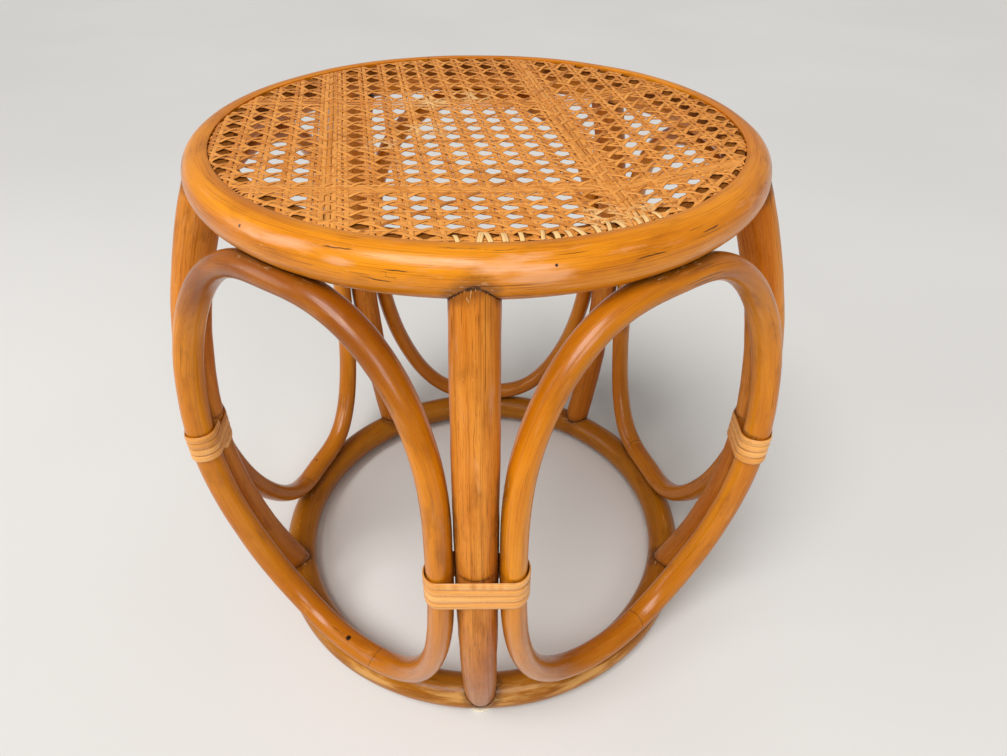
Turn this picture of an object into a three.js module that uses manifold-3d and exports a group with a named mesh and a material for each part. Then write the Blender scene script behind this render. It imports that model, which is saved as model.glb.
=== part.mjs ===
// Round rattan stool, about 400 mm across and 431 mm high. Five bowed posts and five bent
// loops stand on a base ring and carry a seat hoop, which holds a ring of cane webbing.
// Millimetres, +Z up, the origin on the floor under the middle of the stool's overall box.
// The pieces are laid out round the stool's own axis: the front post stands at azimuth 0,
// towards -Y, and azimuths grow towards +X. The last step moves the whole to the origin.

import * as THREE from 'three';
import { mergeVertices } from 'three/addons/utils/BufferGeometryUtils.js';
import Module from 'manifold-3d';

const wasm = await Module();
wasm.setup();

// Layout
const sectors = 5;
const sectorAngle = (2 * Math.PI) / sectors;
const sectorNames = ['front', 'right', 'back_right', 'back_left', 'left'];
const loopNames = ['front_right', 'right', 'back', 'left', 'front_left'];

// Fits and joints
const seatGap = 0.3;          // between pieces that rest on each other
const boreClearance = 0.3;    // round a nail or screw in its hole
const scarfWidth = 0.4;       // open glue line of a scarf joint
const cutOverrun = 2;         // how far a cutter runs past what it cuts
const mergeReach = 0.00001;   // corners nearer than this are one corner

// Base ring and glides
const baseRingRadius = 186.8;
const baseTubeRadius = 14.25;
const glideCount = 4;
const glideRadius = 8;
const glideHeight = 2.8;
const glideChamfer = 1;
const glideNailRadius = 1.3;
const glideNailLength = 12;

// Seat hoop, with a step cut for the caned ring. The webbing is level with the hoop's top.
const seatHoopRadius = 183.8;
const seatTubeRadius = 14.25;
const seatTopHeight = 431.4;

// Caned ring and webbing
const panelInset = 4.4;       // from the middle line of the hoop's pole in to the caned ring
const panelWidth = 14.4;
const panelThickness = 9;
const panelEase = 1.6;
const webbingThickness = 1.6;
const webbingMargin = 12;     // solid weave left inside the caned ring
const columnPitch = 16.4;
const firstColumn = -155.4;   // leftmost column, along the line of the front rows
const columnReference = -80;  // the line along Y on which the columns are measured
const columnLeanShare = -0.171;
const frontRowPitch = 11.37;
const rowPitchGrowth = 0.544; // each row is this much wider than the one before it
const firstRow = -160;
const rowSlopeShare = 0.03;
const sideSlopeShare = 0.42;  // steeper rows beyond the right band
const columnCount = 21;
const rowCount = 20;
const spareCopies = 8;        // columns and rows tried past these, for a wider seat
const bandColumns = [4, 14];
const bandRows = [4, 14];
const holeWidthShare = 0.6;
const holeHeightShare = 0.64;
const holeFlatShare = 0.5;

// Barrels on which the posts and the loops lie. A barrel runs from the base ring to the seat
// hoop, and swells past the line between them.
const footSink = 2.9;         // how deep below the top of the base ring a barrel starts
const postFootLap = 3.65;     // how far a post's outer face stands proud of the base ring
const postHeadLap = 4.25;     // how far it stands proud of the seat hoop
const postSwell = 38.5;
const loopFootInset = 0.8;    // how far inside the middle of the base ring's pole
const loopHeadOutset = 2.7;   // how far outside the middle of the hoop's pole
const loopExtraSwell = 8.5;   // how much further than the posts the loops swell

// Posts
const postFootRadius = 12.9;
const postHeadRadius = 13.9;
const postFootRunout = 13;    // the post runs on past the foot, and is then cut to the ring
const postHeadRunout = 5;

// Loops, of a pole flattened by the bending
const loopHalfWidth = 8.4;    // in the plane of the bend
const loopHalfDepth = 10.3;   // towards the middle of the stool
const loopPostGap = 0.5;
const saddleDepth = 1.2;      // how deep a loop is hollowed where it rests on a ring
const loopWidestShare = 0.624; // of the way up the barrel
const loopTopExponent = 2.55;
const loopBottomExponent = 2.9;

// Bindings of cane peel round a post and the two loops beside it
const bindingHeightShares = [0.536, 0.496, 0.507, 0.501, 0.496]; // middle of each, up the barrel
const bindingTurns = 4;
const peelWidth = 5.6;
const peelThickness = 1.2;
const peelGap = 0.7;          // between one turn and the next
const peelClearance = 0.8;
const tuckDepth = 3;          // where a straight end stops, from the middle of the post
const tuckBend = 1.6;

// Nails and screws
const loopNailRadius = 1;
const loopNailRecess = 0.6;
const bradCount = 7;
const bradRadius = 0.8;
const bradRecess = 0.5;
const screwShankRadius = 1.7;
const screwHeadRadius = 3.4;
const screwHeadHeight = 2.2;
const screwSeatDepth = 3.2;   // how deep under the post's face the screw head seats
const dowelRadius = 4;
const dowelDepth = 18;        // how far a dowel stands in the end of its post
const screwRise = 22;         // from the end of the barrel line to where the screw enters

// Angles
const degree = Math.PI / 180;
const glideTurn = 0;
const firstBradAngle = -39.6 * degree;
const baseScarfAngle = 163 * degree;
const seatScarfAngle = 198 * degree;
const scarfLean = 28 * degree;

// Counts of facets and of steps in a search
const searchPasses = 40;
const finePoints = 800;       // on the line of a loop, before it is divided evenly
const ringSides = 10;
const ringSteps = 40;
const seatArcSteps = 8;
const postSides = 10;
const postSteps = 10;
const loopSides = 8;
const loopSteps = 34;
const peelLoopSteps = 5;
const peelPostSteps = 2;
const tuckSteps = 2;
const pinSides = 6;
const screwSides = 8;

// Heights and lengths that follow from the sizes above
const ringFlat = Math.cos(Math.PI / ringSides);
const baseRingHeight = glideHeight + seatGap + baseTubeRadius * ringFlat;
const seatHoopHeight = seatTopHeight - seatTubeRadius;
const footHeight = baseRingHeight + baseTubeRadius - footSink;
const headHeight = seatHoopHeight - seatTubeRadius;
const loopWidestHeight = footHeight + (headHeight - footHeight) * loopWidestShare;
const bindingHeights = bindingHeightShares.map((share) => footHeight + (headHeight - footHeight) * share);
const peelPitch = peelWidth + peelGap;
const panelOuterRadius = seatHoopRadius - panelInset;
const panelInnerRadius = panelOuterRadius - panelWidth;
const webbingBottom = seatTopHeight - webbingThickness;
const panelTop = webbingBottom - seatGap;
const panelBottom = panelTop - panelThickness;
const stepRadius = panelOuterRadius + seatGap;
const stepFloor = panelBottom - seatGap;
const bladeReach = 4 * (baseTubeRadius + seatTubeRadius);
const postBarrel = {
  foot: baseRingRadius + baseTubeRadius + postFootLap - postFootRadius,
  head: seatHoopRadius + seatTubeRadius + postHeadLap - postHeadRadius,
  swell: postSwell,
};
const loopBarrel = {
  foot: baseRingRadius - loopFootInset,
  head: seatHoopRadius + loopHeadOutset,
  swell: postSwell + loopExtraSwell,
};

// Materials

function rattan(color, roughness) {
  return new THREE.MeshStandardMaterial({ color, roughness, metalness: 0 });
}

const poleFinish = () => rattan(0xc9832f, 0.38);
const postFinish = () => rattan(0xbd7630, 0.42);
const baseFinish = () => rattan(0xb8752c, 0.45);
const panelFinish = () => rattan(0xb5823f, 0.6);
const caneFinish = () => rattan(0xd39a4e, 0.6);
const peelFinish = () => rattan(0xdfa450, 0.5);
const glideFinish = () => rattan(0xe9e6de, 0.45);
const dowelFinish = () => rattan(0xd9b98a, 0.7);
const steelFinish = () => new THREE.MeshStandardMaterial({ color: 0x8a8f96, roughness: 0.4, metalness: 1 });

// Solids and cuts

function toSolid(geometry) {
  const bare = geometry.clone();
  bare.deleteAttribute('normal');
  bare.deleteAttribute('uv');
  const merged = mergeVertices(bare, mergeReach);
  const vertProperties = new Float32Array(merged.attributes.position.array);
  const corners = merged.index.array;
  const kept = [];
  for (let i = 0; i < corners.length; i += 3) {
    const [a, b, c] = [corners[i], corners[i + 1], corners[i + 2]];
    if (a !== b && b !== c && c !== a) {
      kept.push(a, b, c);
    }
  }
  const triVerts = new Uint32Array(kept);
  return new wasm.Manifold(new wasm.Mesh({ numProp: 3, vertProperties, triVerts }));
}

function toGeometry(solid) {
  const mesh = solid.getMesh();
  const geometry = new THREE.BufferGeometry();
  geometry.setAttribute('position', new THREE.BufferAttribute(new Float32Array(mesh.vertProperties), 3));
  geometry.setIndex(new THREE.BufferAttribute(new Uint32Array(mesh.triVerts), 1));
  geometry.computeVertexNormals();
  return geometry;
}

function cut(geometry, cutters) {
  let solid = toSolid(geometry);
  for (const cutter of cutters) {
    solid = solid.subtract(toSolid(cutter));
  }
  return toGeometry(solid);
}

// Places on the barrel. A height gives a radius, and an azimuth turns it round the stool.

function barrelRadius(barrel, height) {
  const share = (height - footHeight) / (headHeight - footHeight);
  const line = barrel.foot + (barrel.head - barrel.foot) * share;
  return line + barrel.swell * (1 - (2 * share - 1) ** 2);
}

function outward(azimuth) {
  return new THREE.Vector3(Math.sin(azimuth), -Math.cos(azimuth), 0);
}

function place(radius, azimuth, height) {
  return outward(azimuth).multiplyScalar(radius).setZ(height);
}

function taper(height) {
  const share = (height - footHeight) / (headHeight - footHeight);
  return postFootRadius + (postHeadRadius - postFootRadius) * share;
}

// The height at which a loop's pole rests on a ring, found by stepping to the barrel radius.
function restingHeight(ringRadius, ringHeight, tubeRadius, side) {
  const spacing = tubeRadius + loopHalfWidth - saddleDepth;
  let height = ringHeight + side * spacing;
  for (let pass = 0; pass < searchPasses; pass += 1) {
    const shift = barrelRadius(loopBarrel, height) - ringRadius;
    height = ringHeight + side * Math.sqrt(spacing ** 2 - shift ** 2);
  }
  return height;
}

const loopBottomHeight = restingHeight(baseRingRadius, baseRingHeight, baseTubeRadius, 1);
const loopTopHeight = restingHeight(seatHoopRadius, seatHoopHeight, seatTubeRadius, -1);

// Poles. A pole is a row of sections, each square to the pole's own line. A section has a
// depth away from the stool's axis and a width across that.

function polePoints(centres, sections, sides, closed) {
  const count = centres.length;
  const rings = [];
  for (let i = 0; i < count; i += 1) {
    const before = centres[closed ? (i + count - 1) % count : Math.max(i - 1, 0)];
    const after = centres[closed ? (i + 1) % count : Math.min(i + 1, count - 1)];
    const along = after.clone().sub(before).normalize();
    const away = new THREE.Vector3(centres[i].x, centres[i].y, 0).normalize();
    away.addScaledVector(along, -away.dot(along)).normalize();
    const across = along.clone().cross(away);
    const ring = [];
    for (let k = 0; k < sides; k += 1) {
      const turn = ((k + 0.5) * 2 * Math.PI) / sides;
      const point = centres[i].clone().addScaledVector(away, sections[i].depth * Math.cos(turn));
      ring.push(point.addScaledVector(across, sections[i].width * Math.sin(turn)));
    }
    rings.push(ring);
  }
  return rings;
}

// Skin over rows of points. A closed skin joins its last row to its first, and an open one
// gets a fan over each end.
function skin(rings, closed) {
  const sides = rings[0].length;
  const positions = rings.flat().flatMap((point) => [point.x, point.y, point.z]);
  const index = [];
  const spans = closed ? rings.length : rings.length - 1;
  for (let i = 0; i < spans; i += 1) {
    const here = i * sides;
    const next = ((i + 1) % rings.length) * sides;
    for (let k = 0; k < sides; k += 1) {
      const after = (k + 1) % sides;
      index.push(here + k, here + after, next + after);
      index.push(here + k, next + after, next + k);
    }
  }
  if (!closed) {
    const last = (rings.length - 1) * sides;
    for (let k = 1; k < sides - 1; k += 1) {
      index.push(0, k + 1, k);
      index.push(last, last + k, last + k + 1);
    }
  }
  const geometry = new THREE.BufferGeometry();
  geometry.setAttribute('position', new THREE.BufferAttribute(new Float32Array(positions), 3));
  geometry.setIndex(index);
  geometry.computeVertexNormals();
  return geometry;
}

// A ring turned round the stool's axis from a closed outline of radius and height.
function turned(outline, steps) {
  const closedOutline = [...outline, outline[0]];
  const geometry = new THREE.LatheGeometry(closedOutline, steps);
  geometry.rotateX(Math.PI / 2);
  return geometry;
}

// A round outline that lies on a flat
function roundOutline(radius, height, tubeRadius, sides) {
  const outline = [];
  for (let k = 0; k < sides; k += 1) {
    const turn = ((k + 0.5) * 2 * Math.PI) / sides - Math.PI / 2;
    const reach = tubeRadius * Math.cos(turn);
    outline.push(new THREE.Vector2(radius + reach, height + tubeRadius * Math.sin(turn)));
  }
  return outline;
}

// Pins, screws and the cutters that make room for them. Each is turned round +Y and then
// aimed from a start towards an end.

function aim(geometry, start, direction) {
  const turn = new THREE.Quaternion().setFromUnitVectors(new THREE.Vector3(0, 1, 0), direction);
  geometry.applyQuaternion(turn);
  geometry.translate(start.x, start.y, start.z);
  return geometry;
}

function pin(start, direction, radius, length) {
  const geometry = new THREE.CylinderGeometry(radius, radius, length, pinSides);
  geometry.translate(0, length / 2, 0);
  return aim(geometry, start, direction);
}

function pinBore(start, direction, radius, length) {
  const opened = start.clone().addScaledVector(direction, -cutOverrun);
  const depth = length + cutOverrun + boreClearance;
  return pin(opened, direction, radius + boreClearance, depth);
}

function screw(start, direction, length) {
  const outline = [
    new THREE.Vector2(0, -screwHeadHeight),
    new THREE.Vector2(screwHeadRadius, -screwHeadHeight),
    new THREE.Vector2(screwHeadRadius, 0),
    new THREE.Vector2(screwShankRadius, 0),
    new THREE.Vector2(screwShankRadius, length),
    new THREE.Vector2(0, length),
  ];
  return aim(new THREE.LatheGeometry(outline, screwSides), start, direction);
}

function screwBore(start, direction, length) {
  const outline = [
    new THREE.Vector2(0, -2 * screwRise),
    new THREE.Vector2(screwHeadRadius + boreClearance, -2 * screwRise),
    new THREE.Vector2(screwHeadRadius + boreClearance, seatGap),
    new THREE.Vector2(screwShankRadius + boreClearance, seatGap),
    new THREE.Vector2(screwShankRadius + boreClearance, length + boreClearance),
    new THREE.Vector2(0, length + boreClearance),
  ];
  return aim(new THREE.LatheGeometry(outline, screwSides), start, direction);
}

// The bore for a dowel has no overrun at its blind end inside the post.
function dowelBore({ start, direction, length }) {
  const floor = start.clone().addScaledVector(direction, -boreClearance);
  return pin(floor, direction, dowelRadius + boreClearance, length);
}

// A thin blade across a pole at a point, leaned along the pole, for a scarf joint.
function scarfBlade(centre, along, away) {
  const across = along.clone().cross(away);
  const normal = along.clone().multiplyScalar(Math.sin(scarfLean));
  normal.addScaledVector(across, Math.cos(scarfLean));
  const run = away.clone().cross(normal);
  const blade = new THREE.BoxGeometry(scarfWidth, bladeReach, bladeReach);
  blade.applyMatrix4(new THREE.Matrix4().makeBasis(normal, run, away));
  blade.translate(centre.x, centre.y, centre.z);
  return blade;
}

function ringScarf(radius, height, azimuth) {
  const away = outward(azimuth);
  const along = new THREE.Vector3(0, 0, 1).cross(away);
  return scarfBlade(place(radius, azimuth, height), along, away);
}

// Foot screws: each enters the inner face of a post and runs down into the base ring.
function footScrew(azimuth) {
  const height = footHeight + screwRise;
  const target = place(baseRingRadius + baseTubeRadius / 2, azimuth, baseRingHeight);
  const face = place(barrelRadius(postBarrel, height) - taper(height), azimuth, height);
  const direction = target.clone().sub(face).normalize();
  const start = face.clone().addScaledVector(direction, screwSeatDepth);
  return { start, direction, length: target.distanceTo(start) };
}

// Head dowels: each stands in the end of a post and reaches the middle of the seat hoop.
function headDowel(azimuth) {
  const height = headHeight - dowelDepth;
  const start = place(barrelRadius(postBarrel, height), azimuth, height);
  const target = place(seatHoopRadius, azimuth, seatHoopHeight);
  const direction = target.clone().sub(start).normalize();
  return { start, direction, length: target.distanceTo(start) };
}

// Loop nails: each runs from the open side of a loop through it, into the ring it rests on.
function loopNail(azimuth, ringRadius, ringHeight, loopHeight) {
  const target = place(ringRadius, azimuth, ringHeight);
  const middle = place(barrelRadius(loopBarrel, loopHeight), azimuth, loopHeight);
  const direction = target.clone().sub(middle).normalize();
  const start = middle.clone().addScaledVector(direction, loopNailRecess - loopHalfWidth);
  return { start, direction, length: target.distanceTo(start) };
}

const lowerNail = (azimuth) => loopNail(azimuth, baseRingRadius, baseRingHeight, loopBottomHeight);
const upperNail = (azimuth) => loopNail(azimuth, seatHoopRadius, seatHoopHeight, loopTopHeight);

// Brads that hold the caned ring in the seat hoop, driven in from the outside.
function panelBrad(index) {
  const azimuth = firstBradAngle + (index * 2 * Math.PI) / bradCount;
  const height = (panelTop + panelBottom) / 2;
  const reach = Math.sqrt(seatTubeRadius ** 2 - (height - seatHoopHeight) ** 2);
  const start = seatHoopRadius + reach - bradRecess;
  const end = (panelInnerRadius + panelOuterRadius) / 2;
  const direction = outward(azimuth).negate();
  return { start: place(start, azimuth, height), direction, length: start - end };
}

const postAzimuth = (index) => index * sectorAngle;
const loopAzimuth = (index) => (index + 0.5) * sectorAngle;
const indexes = (count) => [...Array(count).keys()];

// Cutters with the facets of the two rings, for what rests on them
function baseSeat() {
  const outline = roundOutline(baseRingRadius, baseRingHeight, baseTubeRadius + seatGap, ringSides);
  return turned(outline, ringSteps);
}

function hoopSeat() {
  return turned(hoopArc(seatTubeRadius + seatGap), ringSteps);
}

// Base ring, with bores for its glides, screws and nails
function baseRing() {
  const cutters = [ringScarf(baseRingRadius, baseRingHeight, baseScarfAngle)];
  for (const i of indexes(sectors)) {
    const foot = footScrew(postAzimuth(i));
    const nail = lowerNail(loopAzimuth(i));
    cutters.push(screwBore(foot.start, foot.direction, foot.length));
    cutters.push(pinBore(nail.start, nail.direction, loopNailRadius, nail.length));
  }
  for (const i of indexes(glideCount)) {
    const start = place(baseRingRadius, glideAzimuth(i), glideHeight);
    cutters.push(pinBore(start, new THREE.Vector3(0, 0, 1), glideNailRadius, glideNailLength));
  }
  const outline = roundOutline(baseRingRadius, baseRingHeight, baseTubeRadius, ringSides);
  return cut(turned(outline, ringSteps), cutters);
}

const glideAzimuth = (index) => glideTurn + (index * 2 * Math.PI) / glideCount;

// Glide: a flat foot with its nail, in one piece
function glide(index) {
  const outline = [
    new THREE.Vector2(0, 0),
    new THREE.Vector2(glideRadius - glideChamfer, 0),
    new THREE.Vector2(glideRadius, glideChamfer),
    new THREE.Vector2(glideRadius, glideHeight),
    new THREE.Vector2(glideNailRadius, glideHeight),
    new THREE.Vector2(glideNailRadius, glideHeight + glideNailLength),
    new THREE.Vector2(0, glideHeight + glideNailLength),
  ];
  const foot = new THREE.LatheGeometry(outline, ringSides);
  return aim(foot, place(baseRingRadius, glideAzimuth(index), 0), new THREE.Vector3(0, 0, 1));
}

// Seat hoop: a round pole whose inner upper side is cut away in a step for the caned ring
function hoopArc(tubeRadius) {
  const floorAngle = Math.PI - Math.asin((stepFloor - seatHoopHeight) / seatTubeRadius);
  const wallAngle = Math.acos((stepRadius - seatHoopRadius) / seatTubeRadius);
  const span = 2 * Math.PI - (floorAngle - wallAngle);
  return indexes(seatArcSteps + 1).map((k) => {
    const turn = floorAngle + (span * k) / seatArcSteps;
    const radius = seatHoopRadius + tubeRadius * Math.cos(turn);
    return new THREE.Vector2(radius, seatHoopHeight + tubeRadius * Math.sin(turn));
  });
}

function seatHoop() {
  const outline = [new THREE.Vector2(stepRadius, stepFloor), ...hoopArc(seatTubeRadius)];
  const cutters = [ringScarf(seatHoopRadius, seatHoopHeight, seatScarfAngle)];
  for (const i of indexes(sectors)) {
    const dowel = headDowel(postAzimuth(i));
    const nail = upperNail(loopAzimuth(i));
    cutters.push(pinBore(dowel.start, dowel.direction, dowelRadius, dowel.length));
    cutters.push(pinBore(nail.start, nail.direction, loopNailRadius, nail.length));
  }
  for (const i of indexes(bradCount)) {
    const brad = panelBrad(i);
    cutters.push(pinBore(brad.start, brad.direction, bradRadius, brad.length));
  }
  return cut(turned(outline, ringSteps), cutters);
}

// Caned ring: the flat inner ring over which the webbing is drawn
function panelRing() {
  const outline = [
    new THREE.Vector2(panelInnerRadius, panelBottom),
    new THREE.Vector2(panelOuterRadius, panelBottom),
    new THREE.Vector2(panelOuterRadius, panelTop - panelEase),
    new THREE.Vector2(panelOuterRadius - panelEase, panelTop),
    new THREE.Vector2(panelInnerRadius + panelEase, panelTop),
    new THREE.Vector2(panelInnerRadius, panelTop - panelEase),
  ];
  const cutters = indexes(bradCount).map((i) => {
    const brad = panelBrad(i);
    return pinBore(brad.start, brad.direction, bradRadius, brad.length);
  });
  return cut(turned(outline, ringSteps), cutters);
}

// Webbing: a flat net whose open eyes stand in leaning columns and sloping rows. One row or
// column in ten is woven shut, which makes the dense bands.

function rowLine(row) {
  return firstRow + frontRowPitch * row + (rowPitchGrowth * row * (row - 1)) / 2;
}

function eyeCentre(column, row) {
  const across = firstColumn + columnPitch * column;
  const bandLine = firstColumn + columnPitch * bandColumns[1];
  const climb = across > bandLine ? sideSlopeShare * (across - bandLine) : 0;
  const y = rowLine(row) + rowSlopeShare * across + climb;
  return new THREE.Vector2(across + columnLeanShare * (y - columnReference), y);
}

function eyeOutline(column, row) {
  const centre = eyeCentre(column, row);
  const rowPitch = rowLine(row + 1) - rowLine(row);
  const halfWidth = (columnPitch * holeWidthShare) / 2;
  const halfHeight = (rowPitch * holeHeightShare) / 2;
  const corners = [
    [1, 0], [holeFlatShare, 1], [-holeFlatShare, 1],
    [-1, 0], [-holeFlatShare, -1], [holeFlatShare, -1],
  ];
  return corners.map(([x, y]) => new THREE.Vector2(centre.x + x * halfWidth, centre.y + y * halfHeight));
}

function webbing() {
  const shape = new THREE.Shape();
  for (let k = 0; k < ringSteps; k += 1) {
    const rim = outward((k * 2 * Math.PI) / ringSteps).multiplyScalar(panelOuterRadius);
    if (k === 0) {
      shape.moveTo(rim.x, rim.y);
    } else {
      shape.lineTo(rim.x, rim.y);
    }
  }
  const openReach = panelInnerRadius - webbingMargin;
  for (let column = -spareCopies; column < columnCount + spareCopies; column += 1) {
    for (let row = -spareCopies; row < rowCount + spareCopies; row += 1) {
      const outline = eyeOutline(column, row);
      const open = outline.every((corner) => corner.length() < openReach);
      if (open && !bandColumns.includes(column) && !bandRows.includes(row)) {
        shape.holes.push(new THREE.Path(outline));
      }
    }
  }
  console.log(`webbing eyes: ${shape.holes.length}`);
  const settings = { depth: webbingThickness, bevelEnabled: false, curveSegments: 1 };
  const net = new THREE.ExtrudeGeometry(shape, settings);
  net.translate(0, 0, webbingBottom);
  return net;
}

// Posts: bowed, thinner towards the foot, hollowed at both ends to sit on the rings
function post(index) {
  const azimuth = postAzimuth(index);
  const centres = [];
  const sections = [];
  for (let i = 0; i <= postSteps; i += 1) {
    const low = footHeight - postFootRunout;
    const high = headHeight + postHeadRunout;
    const height = low + ((high - low) * i) / postSteps;
    centres.push(place(barrelRadius(postBarrel, height), azimuth, height));
    sections.push({ depth: taper(height), width: taper(height) });
  }
  const foot = footScrew(azimuth);
  const dowel = headDowel(azimuth);
  return cut(skin(polePoints(centres, sections, postSides, false), false), [
    baseSeat(),
    hoopSeat(),
    screwBore(foot.start, foot.direction, foot.length),
    dowelBore(dowel),
  ]);
}

// Loops: closed bends on the barrel. The lower part follows the posts, the upper part is an
// arch under the seat hoop, and the ends of the pole meet in a scarf near the bottom.

function loopHalfAngle(height) {
  const reach = taper(Math.min(height, loopWidestHeight)) + loopHalfWidth + loopPostGap;
  return sectorAngle / 2 - Math.asin(reach / barrelRadius(loopBarrel, height));
}

function rounded(value, exponent) {
  return Math.sign(value) * Math.abs(value) ** (2 / exponent);
}

function loopCentre(azimuth, turn) {
  const upper = Math.sin(turn) >= 0;
  const exponent = upper ? loopTopExponent : loopBottomExponent;
  const rise = upper ? loopTopHeight - loopWidestHeight : loopWidestHeight - loopBottomHeight;
  const height = loopWidestHeight + rise * rounded(Math.sin(turn), exponent);
  const swing = loopHalfAngle(height) * rounded(Math.cos(turn), exponent);
  return place(barrelRadius(loopBarrel, height), azimuth + swing, height);
}

// Where the side of a loop stands as seen from the post beside it, at a height below the
// loop's widest: how far to the side, and how far inwards
function limbOffset(height) {
  const share = (loopWidestHeight - height) / (loopWidestHeight - loopBottomHeight);
  const swing = loopHalfAngle(height) * (1 - share ** loopBottomExponent) ** (1 / loopBottomExponent);
  const turn = sectorAngle / 2 - swing;
  const radius = barrelRadius(loopBarrel, height);
  const inwards = barrelRadius(postBarrel, height) - radius * Math.cos(turn);
  return { side: radius * Math.sin(turn), inwards };
}

// Points spread evenly along the loop, starting at the middle of its bottom
function loopCentres(azimuth) {
  const fine = indexes(finePoints).map((i) => {
    const turn = (i * 2 * Math.PI) / finePoints - Math.PI / 2;
    return loopCentre(azimuth, turn);
  });
  const path = new THREE.CurvePath();
  fine.forEach((point, i) => path.add(new THREE.LineCurve3(point, fine[(i + 1) % fine.length])));
  return indexes(loopSteps).map((i) => path.getPoint(i / loopSteps));
}

function loop(index) {
  const azimuth = loopAzimuth(index);
  const centres = loopCentres(azimuth);
  const sections = centres.map(() => ({ depth: loopHalfDepth, width: loopHalfWidth }));
  const lower = lowerNail(azimuth);
  const upper = upperNail(azimuth);
  const along = centres[2].clone().sub(centres[0]).normalize();
  const away = outward(azimuth);
  away.addScaledVector(along, -away.dot(along)).normalize();
  return cut(skin(polePoints(centres, sections, loopSides, true), true), [
    baseSeat(),
    hoopSeat(),
    scarfBlade(centres[1], along, away),
    pinBore(lower.start, lower.direction, loopNailRadius, lower.length),
    pinBore(upper.start, upper.direction, loopNailRadius, upper.length),
  ]);
}

// Bindings: a strip of cane peel wound round a post and the two loops beside it. Seen from
// above, with the post at the origin and +y inwards, its line is the tight belt round the
// three poles. It climbs by one pitch in each turn, and both ends turn in between the post
// and a loop on the inner side.

// A pole seen from above is an ellipse. The belt keeps its distance from it along the
// direction in which it faces.
function beltPoint(pole, facing) {
  const grip = peelClearance + peelThickness / 2;
  const c = Math.cos(facing);
  const s = Math.sin(facing);
  const support = Math.hypot(pole.width * c, pole.depth * s);
  const x = pole.x + ((pole.width ** 2) / support + grip) * c;
  const y = pole.y + ((pole.depth ** 2) / support + grip) * s;
  return { x, y, facing };
}

function beltReach(pole, facing) {
  const point = beltPoint(pole, facing);
  return point.x * Math.cos(facing) + point.y * Math.sin(facing);
}

function beltPoles(height) {
  const limb = limbOffset(height - (bindingTurns * peelPitch) / 2);
  const round = taper(height);
  const post = { x: 0, y: 0, width: round, depth: round };
  const right = { x: limb.side, y: limb.inwards, width: loopHalfWidth, depth: loopHalfDepth };
  const left = { ...right, x: -limb.side };
  let low = 0;
  let high = Math.PI / 2;
  for (let pass = 0; pass < searchPasses; pass += 1) {
    const middle = (low + high) / 2;
    const loopLeads = beltReach(right, middle) > beltReach(post, middle);
    [low, high] = loopLeads ? [middle, high] : [low, middle];
  }
  return { post, right, left, edge: low, outerEdge: outerEdge(post, right) };
}

// On the outer side the belt runs straight from loop to loop, unless the post stands further
// out than they do. This is the facing at which the right loop takes the belt over.
function outerEdge(post, right) {
  let low = 1.5 * Math.PI;
  let high = 2 * Math.PI;
  for (let pass = 0; pass < searchPasses; pass += 1) {
    const middle = (low + high) / 2;
    const loopLeads = beltReach(right, middle) > beltReach(post, middle);
    [low, high] = loopLeads ? [low, middle] : [middle, high];
  }
  return low;
}

function beltArc(pole, from, to, steps) {
  return indexes(steps + 1).map((i) => beltPoint(pole, from + ((to - from) * i) / steps));
}

// One turn of the belt, from the inner side of the post round to the right loop. It leaves
// a loop for the post at the facing where both reach equally far.
function beltTurn({ post, right, left, edge, outerEdge: taken }) {
  const given = 3 * Math.PI - taken;
  const postArc = taken > given ? beltArc(post, given, taken, peelPostSteps) : [];
  return [
    ...beltArc(post, edge, Math.PI - edge, peelPostSteps),
    ...beltArc(left, Math.PI - edge, given, peelLoopSteps),
    ...postArc,
    ...beltArc(right, taken, 2 * Math.PI + edge, peelLoopSteps),
  ];
}

// The middle of the valley between the post and the right loop, at some way inwards
function valleyMiddle({ post, right }, y) {
  const postFace = Math.sqrt(post.width ** 2 - y ** 2);
  const share = (y - right.y) / right.depth;
  const loopFace = right.x - right.width * Math.sqrt(1 - share ** 2);
  return (postFace + loopFace) / 2;
}

// A bend from the belt down into the valley between the post and the right loop. The first
// end comes up out of the valley and the last end goes down into it.
function tuckedEnd(poles, side) {
  const { post, edge } = poles;
  const valley = valleyMiddle(poles, tuckDepth);
  const x = valley - side * tuckBend;
  const y = (beltReach(post, edge) - tuckBend - x * Math.cos(edge)) / Math.sin(edge);
  const upright = side > 0 ? 0 : Math.PI;
  const bend = indexes(tuckSteps + 1).map((i) => {
    const facing = upright + ((edge - upright) * i) / tuckSteps;
    return { x: x + tuckBend * Math.cos(facing), y: y + tuckBend * Math.sin(facing), facing };
  });
  return [{ x: valley, y: tuckDepth, facing: upright }, ...bend];
}

function bindingSections(height) {
  const poles = beltPoles(height);
  const turn = beltTurn(poles);
  const low = height - (bindingTurns * peelPitch) / 2;
  const high = low + bindingTurns * peelPitch;
  const climbing = indexes(bindingTurns).flatMap((lap) => turn.map((point, i) => {
    return { ...point, z: low + peelPitch * (lap + (i + 1) / (turn.length + 1)) };
  }));
  const first = tuckedEnd(poles, 1).map((point) => ({ ...point, z: low }));
  const last = tuckedEnd(poles, -1).map((point) => ({ ...point, z: high })).reverse();
  return [...first, ...climbing, ...last];
}

// The four corners of the peel at one section of its line
function peelCorners({ x, y, facing, z }) {
  const corners = [[1, 1], [1, -1], [-1, -1], [-1, 1]];
  return corners.map(([out, up]) => {
    const depth = (out * peelThickness) / 2;
    const dx = depth * Math.cos(facing);
    const dy = depth * Math.sin(facing);
    return new THREE.Vector3(x + dx, y + dy, z + (up * peelWidth) / 2);
  });
}

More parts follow.
